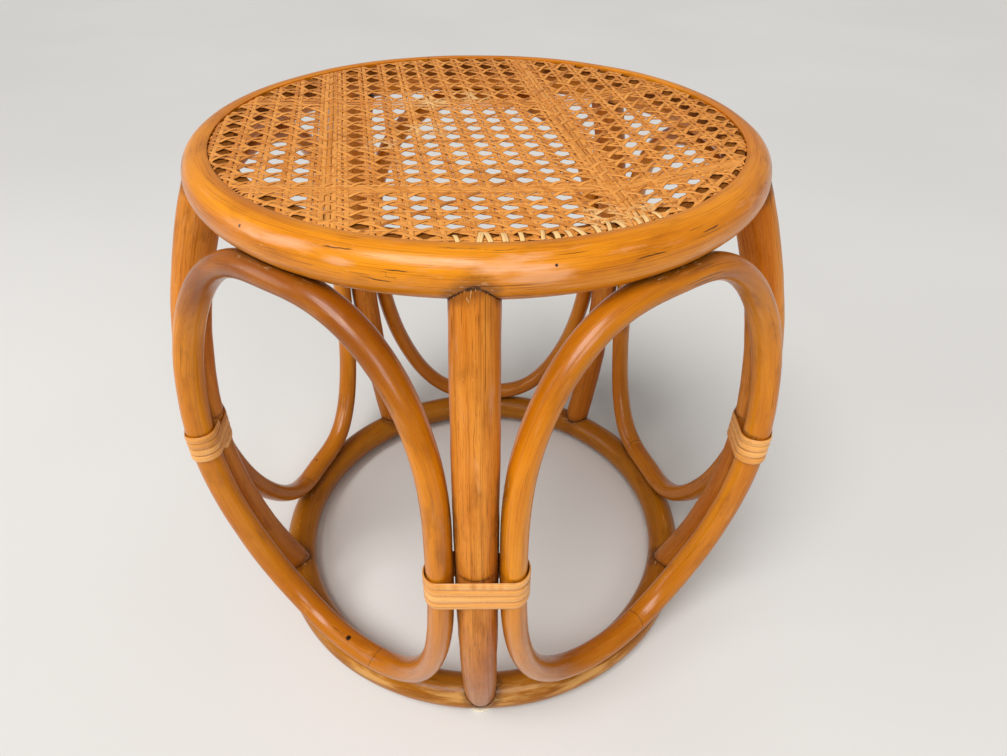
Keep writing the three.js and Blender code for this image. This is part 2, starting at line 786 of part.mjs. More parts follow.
function leastTurnGap(sections) {
  const halfTurn = peelLoopSteps + peelPostSteps;
  let least = Infinity;
  for (let i = 0; i < sections.length; i += 1) {
    for (let j = i + halfTurn; j < sections.length; j += 1) {
      for (const corner of sections[i]) {
        least = Math.min(least, ...sections[j].map((other) => corner.distanceTo(other)));
      }
    }
  }
  return least;
}

function binding(index) {
  const azimuth = postAzimuth(index);
  const away = outward(azimuth);
  const across = new THREE.Vector3(0, 0, 1).cross(away);
  const middle = barrelRadius(postBarrel, bindingHeights[index]);
  const sections = bindingSections(bindingHeights[index]).map(peelCorners);
  const least = leastTurnGap(sections).toFixed(2);
  console.log(`binding ${sectorNames[index]}, least gap turn to turn: ${least} mm`);
  const rings = sections.map((corners) => corners.map(({ x, y, z }) => {
    return away.clone().multiplyScalar(middle - y).addScaledVector(across, x).setZ(z);
  }));
  return skin(rings, false);
}

// Assembly

const group = new THREE.Group();

function add(name, geometry, material) {
  const mesh = new THREE.Mesh(geometry, material);
  mesh.name = name;
  group.add(mesh);
}

function addPin(name, { start, direction, length }, radius, material) {
  add(name, pin(start, direction, radius, length), material);
}

add('base_ring', baseRing(), baseFinish());
add('seat_hoop', seatHoop(), poleFinish());
add('panel_ring', panelRing(), panelFinish());
add('cane_webbing', webbing(), caneFinish());

for (const i of indexes(sectors)) {
  const foot = footScrew(postAzimuth(i));
  add(`post_${sectorNames[i]}`, post(i), postFinish());
  add(`loop_${loopNames[i]}`, loop(i), poleFinish());
  add(`binding_${sectorNames[i]}`, binding(i), peelFinish());
  add(`foot_screw_${sectorNames[i]}`, screw(foot.start, foot.direction, foot.length), steelFinish());
  addPin(`head_dowel_${sectorNames[i]}`, headDowel(postAzimuth(i)), dowelRadius, dowelFinish());
  addPin(`lower_nail_${loopNames[i]}`, lowerNail(loopAzimuth(i)), loopNailRadius, steelFinish());
  addPin(`upper_nail_${loopNames[i]}`, upperNail(loopAzimuth(i)), loopNailRadius, steelFinish());
}

for (const i of indexes(glideCount)) {
  add(`glide_${i + 1}`, glide(i), glideFinish());
}

for (const i of indexes(bradCount)) {
  addPin(`panel_brad_${i + 1}`, panelBrad(i), bradRadius, steelFinish());
}

// The posts reach further towards the front than the loops do towards the back.
const reach = new THREE.Box3().setFromObject(group);
group.position.y = -(reach.min.y + reach.max.y) / 2;

export default group;
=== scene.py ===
"""Round rattan stool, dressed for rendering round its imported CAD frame.

Five bowed posts and five bent loops stand on a base ring and carry a seat hoop, in which a
ring of cane webbing lies. Every shown piece is built here as a smooth mesh, in millimetres
round the stool's own axis, and is then set in the frame in metres.
"""

import logging
import math
from dataclasses import dataclass, field
from enum import Enum
from typing import Sequence

import bpy
import numpy as np
from bpy.types import Material, Node, NodeSocket, Object, World
from mathutils import Matrix, Vector


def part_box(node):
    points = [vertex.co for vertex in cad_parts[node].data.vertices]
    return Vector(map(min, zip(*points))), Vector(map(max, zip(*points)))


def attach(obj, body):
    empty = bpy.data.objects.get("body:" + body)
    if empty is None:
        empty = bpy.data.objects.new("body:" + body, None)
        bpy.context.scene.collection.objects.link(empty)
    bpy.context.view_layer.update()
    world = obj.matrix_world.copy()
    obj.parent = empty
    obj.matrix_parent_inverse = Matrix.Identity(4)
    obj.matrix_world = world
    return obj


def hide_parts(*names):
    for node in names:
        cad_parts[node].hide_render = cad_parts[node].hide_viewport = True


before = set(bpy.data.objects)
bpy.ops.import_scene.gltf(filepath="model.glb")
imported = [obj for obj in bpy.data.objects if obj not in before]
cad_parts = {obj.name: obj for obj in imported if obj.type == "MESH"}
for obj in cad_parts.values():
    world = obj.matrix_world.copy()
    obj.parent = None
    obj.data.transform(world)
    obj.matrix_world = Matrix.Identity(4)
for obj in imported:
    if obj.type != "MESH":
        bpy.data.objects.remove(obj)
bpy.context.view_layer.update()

LOG = logging.getLogger("stool")
MM = 0.001
TURN = 2 * math.pi
UP = np.array([0.0, 0.0, 1.0])
FAR = 20.0  # millimetres off, where no stain, hole or crack shows
SCARF_SLANT = 0.53  # how far a scarf's line runs along its pole for each millimetre across
END_FADE = 20.0  # millimetres over which a pole's unevenness fades towards an end
SECTORS = 5
SECTOR = TURN / SECTORS
BINDING_HEIGHTS = (228.94, 213.95, 218.07, 215.82, 213.95)
BINDING_HALF = 12.9
POST_NAMES = ("front", "right", "back_right", "back_left", "left")
LOOP_NAMES = ("front_right", "right", "back", "left", "front_left")


class Side(Enum):
    """The end of a loop's height at which it is nailed to a ring."""

    LOWER = "lower"
    UPPER = "upper"


# Geometry


def unit(vectors: np.ndarray) -> np.ndarray:
    """Vectors at length 1."""
    return vectors / np.linalg.norm(vectors, axis=-1, keepdims=True)


def square_to(vectors: np.ndarray, along: np.ndarray) -> np.ndarray:
    """Vectors turned square to a direction of length 1, at length 1."""
    return unit(vectors - along * np.sum(vectors * along, axis=-1, keepdims=True))


def run_along(points: np.ndarray) -> np.ndarray:
    """The run from a line's start to each of its points."""
    return np.concatenate([[0.0], np.cumsum(np.linalg.norm(np.diff(points, axis=0), axis=1))])


def polar(radius: object, azimuth: object, height: object) -> np.ndarray:
    """Points by radius, height and azimuth, which is 0 at the front and grows towards +X."""
    parts = (radius * np.sin(azimuth), -radius * np.cos(azimuth), height)
    return np.stack(np.broadcast_arrays(*parts), axis=-1).astype(float)


def even(points: np.ndarray, step: float) -> np.ndarray:
    """Points at even steps along a line.

    Args:
        points: a fine line.
        step: the wanted distance between points.

    Returns:
        The evenly spaced points, with both ends kept.
    """
    run = run_along(points)
    wanted = np.linspace(0.0, run[-1], max(2, int(round(run[-1] / step)) + 1))
    return np.stack([np.interp(wanted, run, points[:, k]) for k in range(3)], axis=1)


def uneven(seed: int, share: np.ndarray, angle: np.ndarray, height: float) -> np.ndarray:
    """The slow unevenness of a peeled pole.

    Args:
        seed: sets which pole this is.
        share: the place along the pole, from 0 to 1.
        angle: the place round the section.
        height: how far the surface rises and falls.

    Returns:
        The rise at each place.
    """
    rng = np.random.default_rng(seed)
    total = np.zeros(np.broadcast(share, angle).shape)
    for waves, turns, part in ((3, 0, 0.5), (5, 1, 0.45), (8, 2, 0.35), (13, 1, 0.25), (21, 3, 0.15)):
        total += part * np.sin(TURN * waves * share + turns * angle + rng.uniform(0, TURN))
    return height * total


def scarf(run: np.ndarray, side: np.ndarray) -> np.ndarray:
    """How far each corner lies along its pole from the slanting line where the ends meet."""
    return np.where(run > run[-1] / 2, run - run[-1], run) + SCARF_SLANT * side


def stool_axis() -> np.ndarray:
    """Where the stool's axis meets the floor in the frame, in metres."""
    low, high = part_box("seat_hoop")
    return np.array([0.0, (low.y + high.y) / 2, 0.0])


def add_object(name: str, data: bpy.types.ID) -> Object:
    """A new object, linked to the scene.

    Args:
        name: its name.
        data: its mesh, lamp or camera.

    Returns:
        The object.
    """
    made = bpy.data.objects.new(name, data)
    bpy.context.scene.collection.objects.link(made)
    return made


@dataclass(frozen=True)
class Barrel:
    """A turned surface on which poles lie, swelling between its foot and its head."""

    foot: float
    head: float
    swell: float
    foot_height: float = 28.0025
    head_height: float = 402.9

    def share(self, height: np.ndarray) -> np.ndarray:
        """Where a height lies between the foot, 0, and the head, 1."""
        return (height - self.foot_height) / (self.head_height - self.foot_height)

    def radius(self, height: np.ndarray) -> np.ndarray:
        """The barrel's radius at a height."""
        s = self.share(height)
        return self.foot + (self.head - self.foot) * s + self.swell * (1 - (2 * s - 1) ** 2)


@dataclass
class PoleLine:
    """The middle of a pole, with its section along the way.

    Attributes:
        points: places along the pole, in millimetres round the stool's axis.
        depth: half the section away from the stool's axis.
        width: half the section across that.
        closed: whether the pole's end meets its start.
    """

    points: np.ndarray
    depth: np.ndarray
    width: np.ndarray
    closed: bool

    def axes(self) -> tuple[np.ndarray, np.ndarray]:
        """The directions away from the stool's axis and across.

        Returns:
            Both directions at each point.
        """
        along = np.gradient(self.points, axis=0)
        if self.closed:
            along[[0, -1]] = self.points[1] - self.points[-2]
        along = unit(along)
        away = square_to(self.points * (1.0 - UP), along)
        return away, np.cross(along, away)


@dataclass
class Shape:
    """A mesh in the making: its corners, its faces and the fields its finish reads."""

    corners: np.ndarray
    faces: list[np.ndarray]
    fields: dict[str, np.ndarray] = field(default_factory=dict)

    @classmethod
    def over(cls, corners: np.ndarray, capped: bool, **fields: np.ndarray) -> "Shape":
        """A skin over a grid of corners, with a row for each section.

        Args:
            corners: the grid. Each section closes on itself.
            capped: whether the first and the last section are filled.
            fields: values on the same grid.

        Returns:
            The shape.
        """
        rows, columns = corners.shape[:2]
        i, k = np.arange(rows - 1)[:, None] * columns, np.arange(columns)
        j, after = i + columns, (k + 1) % columns
        faces = [np.stack([i + k, i + after, j + after, j + k], axis=2).reshape(-1, 4)]
        if capped:
            faces += [k[None, ::-1], (rows - 1) * columns + k[None]]
        flat = {key: values.reshape(-1, *values.shape[2:]) for key, values in fields.items()}
        return cls(corners.reshape(-1, 3), faces, flat)

    @classmethod
    def join(cls, shapes: Sequence["Shape"]) -> "Shape":
        """Several open skins with the same fields as one shape.

        Args:
            shapes: the skins.

        Returns:
            The shape.
        """
        starts = np.cumsum([0] + [len(shape.corners) for shape in shapes])
        faces = [np.concatenate([shape.faces[0] + start for shape, start in zip(shapes, starts)])]
        fields = {key: np.concatenate([shape.fields[key] for shape in shapes]) for key in shapes[0].fields}
        return cls(np.concatenate([shape.corners for shape in shapes]), faces, fields)

    def piece(self, name: str, crease: float = 180.0) -> Object:
        """Makes the mesh object, in metres in the frame.

        Args:
            name: the piece's name.
            crease: edges that turn by more than this many degrees stay sharp.

        Returns:
            The new object, linked to the scene.
        """
        mesh = bpy.data.meshes.new(name)
        sizes = np.concatenate([np.full(len(f), f.shape[1]) for f in self.faces])
        starts = np.concatenate([[0], np.cumsum(sizes)[:-1]]).astype(np.int32)
        mesh.vertices.add(len(self.corners))
        mesh.vertices.foreach_set("co", (self.corners * MM + stool_axis()).astype(np.float32).ravel())
        mesh.loops.add(int(sizes.sum()))
        loops = np.concatenate([f.ravel() for f in self.faces]).astype(np.int32)
        mesh.loops.foreach_set("vertex_index", loops)
        mesh.polygons.add(len(sizes))
        mesh.polygons.foreach_set("loop_start", starts)
        mesh.update(calc_edges=True)
        for key, values in self.fields.items():
            kind, slot = ("FLOAT_VECTOR", "vector") if values.ndim == 2 else ("FLOAT", "value")
            layer = mesh.attributes.new(key, kind, "POINT")
            layer.data.foreach_set(slot, values.astype(np.float32).ravel())
        mesh.shade_smooth()
        if crease < 180.0:
            mesh.set_sharp_from_angle(angle=math.radians(crease))
        return add_object(name, mesh)


def clearance(corners: np.ndarray, others: Sequence[PoleLine], batch: int = 3000) -> np.ndarray:
    """How far each corner is from the surface of the nearest of some poles.

    Args:
        corners: the places to measure from.
        others: the poles to measure to.
        batch: how many corners are measured at a time.

    Returns:
        One distance for each corner.
    """
    middles = np.concatenate([line.points for line in others]).astype(np.float32)
    radii = np.concatenate([(line.depth + line.width) / 2 for line in others]).astype(np.float32)
    least = []
    for start in range(0, len(corners), batch):
        part = corners[start : start + batch, None].astype(np.float32)
        least.append((np.sqrt(((part - middles) ** 2).sum(axis=2)) - radii).min(axis=1))
    return np.concatenate(least)


def sweep(line: PoleLine, sides: int, seed: int, roughness: float) -> Shape:
    """The skin of a pole.

    Args:
        line: the pole's middle and section.
        sides: corners round the section.
        seed: sets the pole's unevenness.
        roughness: how uneven it is, in millimetres.

    Returns:
        The shape, with its grain field in millimetres along and across the pole.
    """
    away, across = line.axes()
    run = run_along(line.points)[:, None]
    turn = (np.arange(sides) + 0.5) * TURN / sides
    rise = uneven(seed, run / run[-1], turn, roughness)
    if not line.closed:
        rise *= np.minimum(1.0, np.minimum(run, run[-1] - run) / END_FADE)
    out = (line.depth[:, None] + rise) * np.cos(turn)
    side = (line.width[:, None] + rise) * np.sin(turn)
    corners = line.points[:, None] + out[..., None] * away[:, None] + side[..., None] * across[:, None]
    grain = np.stack([np.broadcast_to(run, out.shape), out, side], axis=2) + (seed * 137.0, seed * 31.0, 0.0)
    facing = np.broadcast_to(np.cos(turn), out.shape)
    return Shape.over(corners, not line.closed, grain=grain, seam=scarf(run, side), outer=facing)


def lathe(outline: np.ndarray, steps: int, scarf_azimuth: float) -> Shape:
    """A closed outline of radius and height turned round the stool's axis.

    Args:
        outline: corners of the section, as radius and height.
        steps: sections round the axis.
        scarf_azimuth: the azimuth at which the pole's ends meet.

    Returns:
        The shape, with the same fields as a swept pole.
    """
    turn = np.arange(steps + 1)[:, None] * TURN / steps
    corners = polar(outline[:, 0], turn + scarf_azimuth, outline[:, 1])
    middle = outline.mean(axis=0)
    out, rise = (np.broadcast_to(part, corners.shape[:2]) for part in (outline - middle).T)
    run = turn * middle[0]
    grain = np.stack([np.broadcast_to(run, out.shape), out, rise], axis=2)
    return Shape.over(corners, False, grain=grain, seam=scarf(run, rise), outer=out / np.hypot(out, rise))


def spin(outline: Sequence[tuple[float, float]], start: np.ndarray, direction: np.ndarray,
         steps: int = 32) -> Shape:
    """A small turned piece, such as a nail, aimed in the stool.

    Args:
        outline: its rings of corners, as radius and run.
        start: where the run is zero.
        direction: the way the run grows, at length 1.
        steps: facets round the piece.

    Returns:
        The closed shape.
    """
    rows = np.array(outline)
    helper = np.eye(3)[0 if abs(direction[0]) < 0.7 else 1]
    side = unit(np.cross(direction, helper))
    turn = np.arange(steps)[:, None] * TURN / steps
    ring = np.cos(turn) * side + np.sin(turn) * np.cross(direction, side)
    corners = start + rows[:, 1, None, None] * direction + rows[:, 0, None, None] * ring
    return Shape.over(corners, True, grain=corners)


def ribbon(middle: np.ndarray, side: np.ndarray, up: np.ndarray, section: np.ndarray,
           grain: tuple[np.ndarray, np.ndarray, object], capped: bool = False) -> Shape:
    """A flat strip with a section at each point of its middle.

    Args:
        middle: the strip's points.
        side: the way across the strip at each point.
        up: the way out of its face at each point.
        section: the sections' corners, as places to the side and up.
        grain: the run along it, the place across it and its own tone.
        capped: whether its ends are filled.

    Returns:
        The shape.
    """
    corners = middle[:, None] + side[:, None] * section[..., :1] + up[:, None] * section[..., 1:]
    run, across, tone = np.broadcast_arrays(*grain)
    edge = np.abs(across) / np.abs(across).max()
    return Shape.over(corners, capped, grain=np.stack([run, across, tone], axis=2), edge=edge)


def aim(face: np.ndarray, target: np.ndarray, shift: float) -> tuple[np.ndarray, np.ndarray, float]:
    """The line of a nail or a screw.

    Args:
        face: a point that it passes.
        target: where it ends.
        shift: how far past the point it begins.

    Returns:
        Its start, its direction and its length.
    """
    direction = unit(target - face)
    start = face + direction * shift
    return start, direction, float(np.linalg.norm(target - start))


# Finishes


def linear(code: str) -> tuple[float, float, float, float]:
    """An sRGB hex colour as the linear values that a shader takes.

    Args:
        code: six hex digits after a hash.

    Returns:
        Red, green, blue and full alpha.
    """
    values = [int(code[i : i + 2], 16) / 255 for i in (1, 3, 5)]
    bent = [v / 12.92 if v <= 0.04045 else ((v + 0.055) / 1.055) ** 2.4 for v in values]
    return (bent[0], bent[1], bent[2], 1.0)


# Sorts of node in a row of steps: the type, the output taken from it and its settings
EASE = ("ShaderNodeMapRange", 0, {"interpolation_type": "SMOOTHSTEP"})
TIMES = ("ShaderNodeMath", 0, {"operation": "MULTIPLY"})
PLUS = ("ShaderNodeMath", 0, {"operation": "ADD"})
MINUS = ("ShaderNodeMath", 0, {"operation": "SUBTRACT"})
SIZE = ("ShaderNodeMath", 0, {"operation": "ABSOLUTE"})
LENGTH = ("ShaderNodeVectorMath", "Value", {"operation": "LENGTH"})
STRETCH = ("ShaderNodeMapping", 0, {})
NOISE = ("ShaderNodeTexNoise", 0, {})
PLACE = ("ShaderNodeTexCoord", "Object", {})
HEIGHT = ("ShaderNodeSeparateXYZ", 2, {})
VECTOR_FIELDS = ("grain", "mark", "split")


class Graph:
    """The node tree of a new material or world while it is being wired.

    Attributes:
        owner: the material or world.
        tree: its node tree.
        made: the outputs of the steps so far, by their names.
    """

    def __init__(self, owner: Material | World) -> None:
        """Starts with an empty node tree.

        Args:
            owner: the new material or world.
        """
        owner.use_nodes = True
        self.owner = owner
        self.tree = owner.node_tree
        self.tree.nodes.clear()
        self.made: dict[str, NodeSocket] = {}

    def add(self, kind: str, links: dict[object, object], **settings: object) -> Node:
        """Adds a node with its settings and links.

        Args:
            kind: the node's type.
            links: input names or numbers, each with a value, an output or a step's name.
            settings: attributes of the node itself.

        Returns:
            The new node.
        """
        node = self.tree.nodes.new(kind)
        for key, value in settings.items():
            setattr(node, key, value)
        for key, value in links.items():
            value = self.made[value] if isinstance(value, str) else value
            if isinstance(value, NodeSocket):
                self.tree.links.new(value, node.inputs[key])
            elif value is not None:
                node.inputs[key].default_value = value
        return node

    def work(self, *steps: Sequence[object]) -> NodeSocket:
        """Adds nodes one after another.

        Args:
            steps: for each node its name, its sort and its inputs in order. A word stands for an
                earlier step, and None leaves an input as it is.

        Returns:
            The last node's output.
        """
        for name, (kind, output, settings), *inputs in steps:
            node = self.add(kind, dict(enumerate(inputs)), **settings)
            self.made[name] = node.outputs[output]
        return self.made[name]

    def tone(self, ground: str, *layers: Sequence[object]) -> NodeSocket:
        """A colour with others laid over it in turn.

        Args:
            ground: the first colour.
            layers: for each colour the step that covers with it, the ranges that this is eased
                from and to, where it is, and the colour.

        Returns:
            The mixed colour.
        """
        mixed = linear(ground)
        for cover, *between, code in layers:
            if between:
                cover = self.work(("cover", EASE, cover, *between))
            links = {0: cover, 6: mixed, 7: linear(code)}
            mixed = self.add("ShaderNodeMix", links, data_type="RGBA").outputs[2]
        return mixed

    def finish(self, color: object, roughness: object, bump: object, depth: float,
               constants: dict[str, float]) -> Material:
        """Wires the surface shader to the material's output.

        Args:
            color: the base colour.
            roughness: the roughness.
            bump: the height field.
            depth: how deep it is, in millimetres.
            constants: values set on the shader's own sockets.

        Returns:
            The finished material.
        """
        normal = self.add("ShaderNodeBump", {"Height": bump, "Distance": depth * MM, "Strength": 1.0})
        links = {"Base Color": color, "Roughness": roughness, "Normal": normal.outputs[0]}
        surface = self.add("ShaderNodeBsdfPrincipled", links | constants)
        self.add("ShaderNodeOutputMaterial", {"Surface": surface.outputs[0]})
        return self.owner


def fields(*names: str) -> list[Sequence[object]]:
    """The steps that read fields of the mesh.

    Args:
        names: the fields.

    Returns:
        One step for each field, under its own name.
    """
    outputs = ("Vector" if name in VECTOR_FIELDS else "Fac" for name in names)
    return [(name, ("ShaderNodeAttribute", output, {"attribute_name": name}))
            for name, output in zip(names, outputs)]


def noises(over: str, table: dict[str, tuple[float, ...]]) -> list[Sequence[object]]:
    """The steps of noises that are stretched differently along each axis.

    Args:
        over: the step that gives the place, in millimetres.
        table: for each noise the millimetres across one feature on each axis, its octaves and how
            strong the finer octaves are.

    Returns:
        Two steps for each noise.
    """
    steps = []
    for name, (*reach, octaves, rough) in table.items():
        steps.append((name, STRETCH, over, None, None, tuple(1 / s for s in reach)))
        steps.append((name, NOISE, name, None, 1.0, octaves, rough))
    return steps


# A pole's noises: millimetres across a feature along and across the pole, octaves, their strength.
# The fine lines and the pores are drawn somewhat coarser than real ones, so that they show.
POLE_NOISES = {name: (along, across, across, octaves, rough) for name, along, across, octaves, rough in (
    ("slow", 150.0, 17.0, 3.0, 0.55), ("lines", 130.0, 1.3, 3.0, 0.6), ("fine", 48.0, 0.42, 2.0, 0.5),
    ("pores", 11.0, 0.55, 2.0, 0.5), ("blotch", 34.0, 12.0, 4.0, 0.6), ("checks", 60.0, 0.6, 1.0, 0.4),
    ("where", 42.0, 9.0, 1.0, 0.4), ("rub", 34.0, 6.0, 4.0, 0.62), ("specks", 5.0, 1.2, 2.0, 0.5),
    ("flecks", 4.0, 1.3, 3.0, 0.6),
)}
POLE_STEPS = (
    ("place", PLACE), ("high", HEIGHT, "place"),
    # the upper part, browner in tone and darker with painted shade under the hoop
    ("raised", EASE, "high", 0.32, 0.38), ("patched", EASE, "blotch", 0.3, 0.6, 0.75, 1.0),
    ("browned", TIMES, "raised", "patched"), ("browned", TIMES, "browned", "brown"),
    # short checks in the lacquer
    ("check", EASE, "checks", 0.69, 0.73), ("spread", EASE, "where", 0.55, 0.64),
    ("check", TIMES, "check", "spread"), ("dark check", TIMES, "check", 0.75),
    # scuffs, strongest on the outer side
    ("rubbed", TIMES, "worn", 0.30), ("rubbed", PLUS, "rubbed", "rub"),
    ("outer", EASE, "outer", -0.35, 0.45, 0.3, 1.0),
    ("scuff", EASE, "rubbed", 0.56, 0.84), ("scuff", TIMES, "scuff", "outer"),
    # dark glue, dirt and dust beside a joint, with painted crevice shade along it and above the bindings
    ("ragged", EASE, "flecks", 0.3, 0.7, -0.25, 0.45), ("ragged", PLUS, "gap", "ragged"),
    ("stain", EASE, "ragged", 0.15, 1.15, 0.94, 0.0),
    ("patchy", EASE, "blotch", 0.3, 0.7, -2.5, 3.0), ("residue", PLUS, "gap", "patchy"),
    ("specked", EASE, "specks", 0.60, 0.66), ("near", EASE, "residue", 0.5, 6.0, 0.75, 0.0),
    ("dust", TIMES, "specked", "near"),
    # nail holes
    ("off", LENGTH, "mark"), ("hole", EASE, "off", 0.5, 1.0, 1.0, 0.0),
    # open cracks, from the place along and beside each and how far off its zone lies
    ("wander", EASE, "blotch", 0.3, 0.7, -0.9, 0.9), ("aside", PLUS, "aside", "wander"),
    ("aside", SIZE, "aside"), ("open", EASE, "aside", 0.08, 0.45, 1.0, 0.0),
    ("along", SIZE, "along"), ("reach", EASE, "along", 0.5, 1.0, 1.0, 0.0),
    ("broken", EASE, "rub", 0.36, 0.48, 0.35, 1.0), ("zone", EASE, "zone", 0.95, 1.1, 1.0, 0.0),
    ("crack", TIMES, "open", "reach"), ("crack", TIMES, "crack", "broken"),
    ("crack", TIMES, "crack", "zone"), ("dark crack", TIMES, "crack", 0.85),
    # the height of the surface
    ("ridge", TIMES, "lines", 0.45), ("pit", TIMES, "pores", 0.35), ("height", PLUS, "ridge", "pit"),
    ("height", MINUS, "height", "crack"), ("low check", TIMES, "check", 0.8),
    ("height", MINUS, "height", "low check"), ("low hole", TIMES, "hole", 1.2),
    ("height", MINUS, "height", "low hole"),
)
CHECK, SPECK, RESIDUE_AND_SHADE, DUST = "#4A2206", "#E9B878", "#5C2E0A", "#C49A6C"
JOINT_STAIN_AND_SHADE, HOLE, SPLIT, GLUE_LINE = "#241003", "#180A02", "#2C1404", "#3A1C08"
CANE_WORN, CANE_SPLIT = "#FAD08C", "#4E2B10"


@dataclass(frozen=True)
class LacqueredRattan:
    """Peeled rattan pole under clear lacquer.

    The pole is a palm stem whose vessels run along it, so it shows fine lines and short dark
    pores along the pole, slow changes from yellow to browner tones, and a satin coat with soft gloss.
    Scuffs break the coat and look pale and dull. Lacquer and glue gather dark where poles meet,
    with painted crevice shade there. Painted shade also darkens the pole towards the floor and
    just under the hoop, where it is browner too.
    """

    name: str
    light: str
    middle: str
    dark: str
    pore: str
    pores: float
    streaks: float
    scuffs: float
    scuff_tone: str
    roughness: float
    coat: float
    seamed: bool = False

    def material(self) -> Material:
        """Builds the material.

        Returns:
            The material, ready to be laid on a piece.
        """
        g = Graph(bpy.data.materials.new(self.name))
        g.work(*fields("grain", "mark", "split", "worn", "brown", "outer", "gap"),
               *noises("grain", POLE_NOISES))
        split = g.add("ShaderNodeSeparateXYZ", {0: "split"}).outputs
        g.made.update(zip(("along", "aside", "zone"), split))
        g.work(*POLE_STEPS)
        g.work(
            ("scuff", TIMES, "scuff", self.scuffs),
            ("rough", EASE, "lines", 0.3, 0.75, self.roughness - 0.05, self.roughness + 0.09),
            ("dull", TIMES, "scuff", 0.22), ("rough", PLUS, "rough", "dull"),
            ("dirty", TIMES, "stain", 0.3), ("rough", PLUS, "rough", "dirty"),
        )
        layers = [
            ("slow", 0.33, 0.68, self.light),
            ("blotch", 0.50, 0.78, 0.0, 0.60, self.dark),
            ("lines", 0.48, 0.72, 0.0, self.streaks, self.dark),
            ("fine", 0.52, 0.72, 0.0, self.streaks * 0.6, self.pore),
            ("fine", 0.46, 0.30, 0.0, self.streaks * 0.8, self.light),
            ("pores", 0.58, 0.72, 0.0, self.pores, self.pore),
            # painted shade: darker towards the floor
            ("high", 0.02, 0.26, 0.54, 0.0, self.dark),
            # the upper part: browner in tone and painted in shade under the hoop
            ("browned", self.dark), ("dark check", CHECK), ("scuff", self.scuff_tone),
            ("specks", 0.73, 0.78, 0.0, 0.5, SPECK),
            # dark glue and dirt near the joints, with painted crevice shade along them and above the bindings
            ("residue", 1.0, 7.0, 0.60, 0.0, RESIDUE_AND_SHADE),
            ("dust", DUST), ("stain", JOINT_STAIN_AND_SHADE), ("hole", HOLE), ("dark crack", SPLIT),
        ]
        if self.seamed:
            g.work(*fields("seam"), ("seam", SIZE, "seam"), ("seam", EASE, "seam", 0.1, 0.5, 0.8, 0.0),
                   ("height", MINUS, "height", "seam"))
            layers.append(("seam", GLUE_LINE))
        constants = {"IOR": 1.45, "Specular IOR Level": 0.10 + 0.33 * self.coat,
                     "Coat Weight": self.coat, "Coat Roughness": 0.18}
        return g.finish(g.tone(self.middle, *layers), "rough", "height", 0.22, constants)


@dataclass(frozen=True)
class SplitCane:
    """Cane peel, the glossy outer skin of the stem, cut to thin strands.

    Each strand has its own tone, a fine run of fibres along it, and a satin skin that is
    dull and darker where it is worn. Painted shade darkens each strand towards its edges.
    """

    name: str
    light: str
    middle: str
    dark: str
    roughness: float
    fibre: float
    edge_shade: float

    def material(self) -> Material:
        """Builds the material.

        Returns:
            The material, ready to be laid on a piece.
        """
        g = Graph(bpy.data.materials.new(self.name))
        g.work(
            *fields("grain", "pale", "edge"),
            *noises("grain", {
                "own": (300.0, 4000.0, 1.0, 0.0, 0.55), "runs": (55.0, self.fibre, 400.0, 3.0, 0.6),
                "spots": (9.0, 3.0, 30.0, 3.0, 0.6), "split": (60.0, self.fibre * 0.8, 50.0, 1.0, 0.4)}),
            ("split", EASE, "split", 0.71, 0.75), ("dark split", TIMES, "split", 0.75),
            ("pale", TIMES, "pale", 0.5), ("pale", PLUS, "pale", "spots"),
            ("rough", EASE, "spots", 0.35, 0.75, self.roughness - 0.06, self.roughness + 0.12),
            ("height", MINUS, "runs", "split"),
        )
        tone = g.tone(
            self.middle,
            ("own", 0.38, 0.62, self.light),
            ("own", 0.40, 0.26, 0.0, 0.45, self.dark),
            ("pale", 0.66, 0.92, 0.0, 0.85, CANE_WORN),
            ("runs", 0.46, 0.72, 0.0, 0.6, self.dark),
            ("spots", 0.56, 0.80, 0.0, 0.5, self.dark),
            ("dark split", CANE_SPLIT),
            # painted shade: darker towards the edges of each strand
            ("edge", 0.66, 1.0, 0.0, self.edge_shade, self.dark),
        )
        constants = {"IOR": 1.5, "Coat Weight": 0.12, "Coat Roughness": 0.3}
        return g.finish(tone, "rough", "height", 0.10, constants)


@dataclass(frozen=True)
class PlainRod:
    """A drawn, zinc-plated or turned small part, with faint turning lines and tarnish."""

    name: str
    color: str
    tarnish: str
    roughness: float
    metallic: float

    def material(self) -> Material:
        """Builds the material.

        Returns:
            The material, ready to be laid on a piece.
        """
        g = Graph(bpy.data.materials.new(self.name))
        g.work(
            *fields("grain"),
            *noises("grain", {"cloud": (2.5, 2.5, 2.5, 4.0, 0.6), "fine": (0.5, 0.5, 0.5, 2.0, 0.5)}),
            ("rough", EASE, "cloud", 0.3, 0.7, self.roughness - 0.06, self.roughness + 0.12),
        )
        tone = g.tone(self.color, ("cloud", 0.42, 0.72, self.tarnish))
        return g.finish(tone, "rough", "fine", 0.03, {"Metallic": self.metallic})


# Rattan bent with heat and lacquered: warm depth, soft gloss, lacquer rubbed pale on the hoop
HOOP = LacqueredRattan("lacquered_rattan_hoop", "#E68E0E", "#C87006", "#9A5206", "#6E3A08", 0.24, 0.48,
                       0.62, "#E8A878", 0.29, 0.36, seamed=True)
LOOP = LacqueredRattan("lacquered_rattan_loop", "#E48E12", "#C87206", "#8E4A06", "#6A3606", 0.18, 0.34,
                       0.35, "#E2A870", 0.27, 0.34, seamed=True)
# Straighter rattan under a thinner coat: duller, with strong dark lines along the pole
POST = LacqueredRattan("lacquered_rattan_post", "#E29036", "#C66C14", "#8A480A", "#6A320A", 0.50, 0.46,
                       0.35, "#E6B088", 0.33, 0.08)
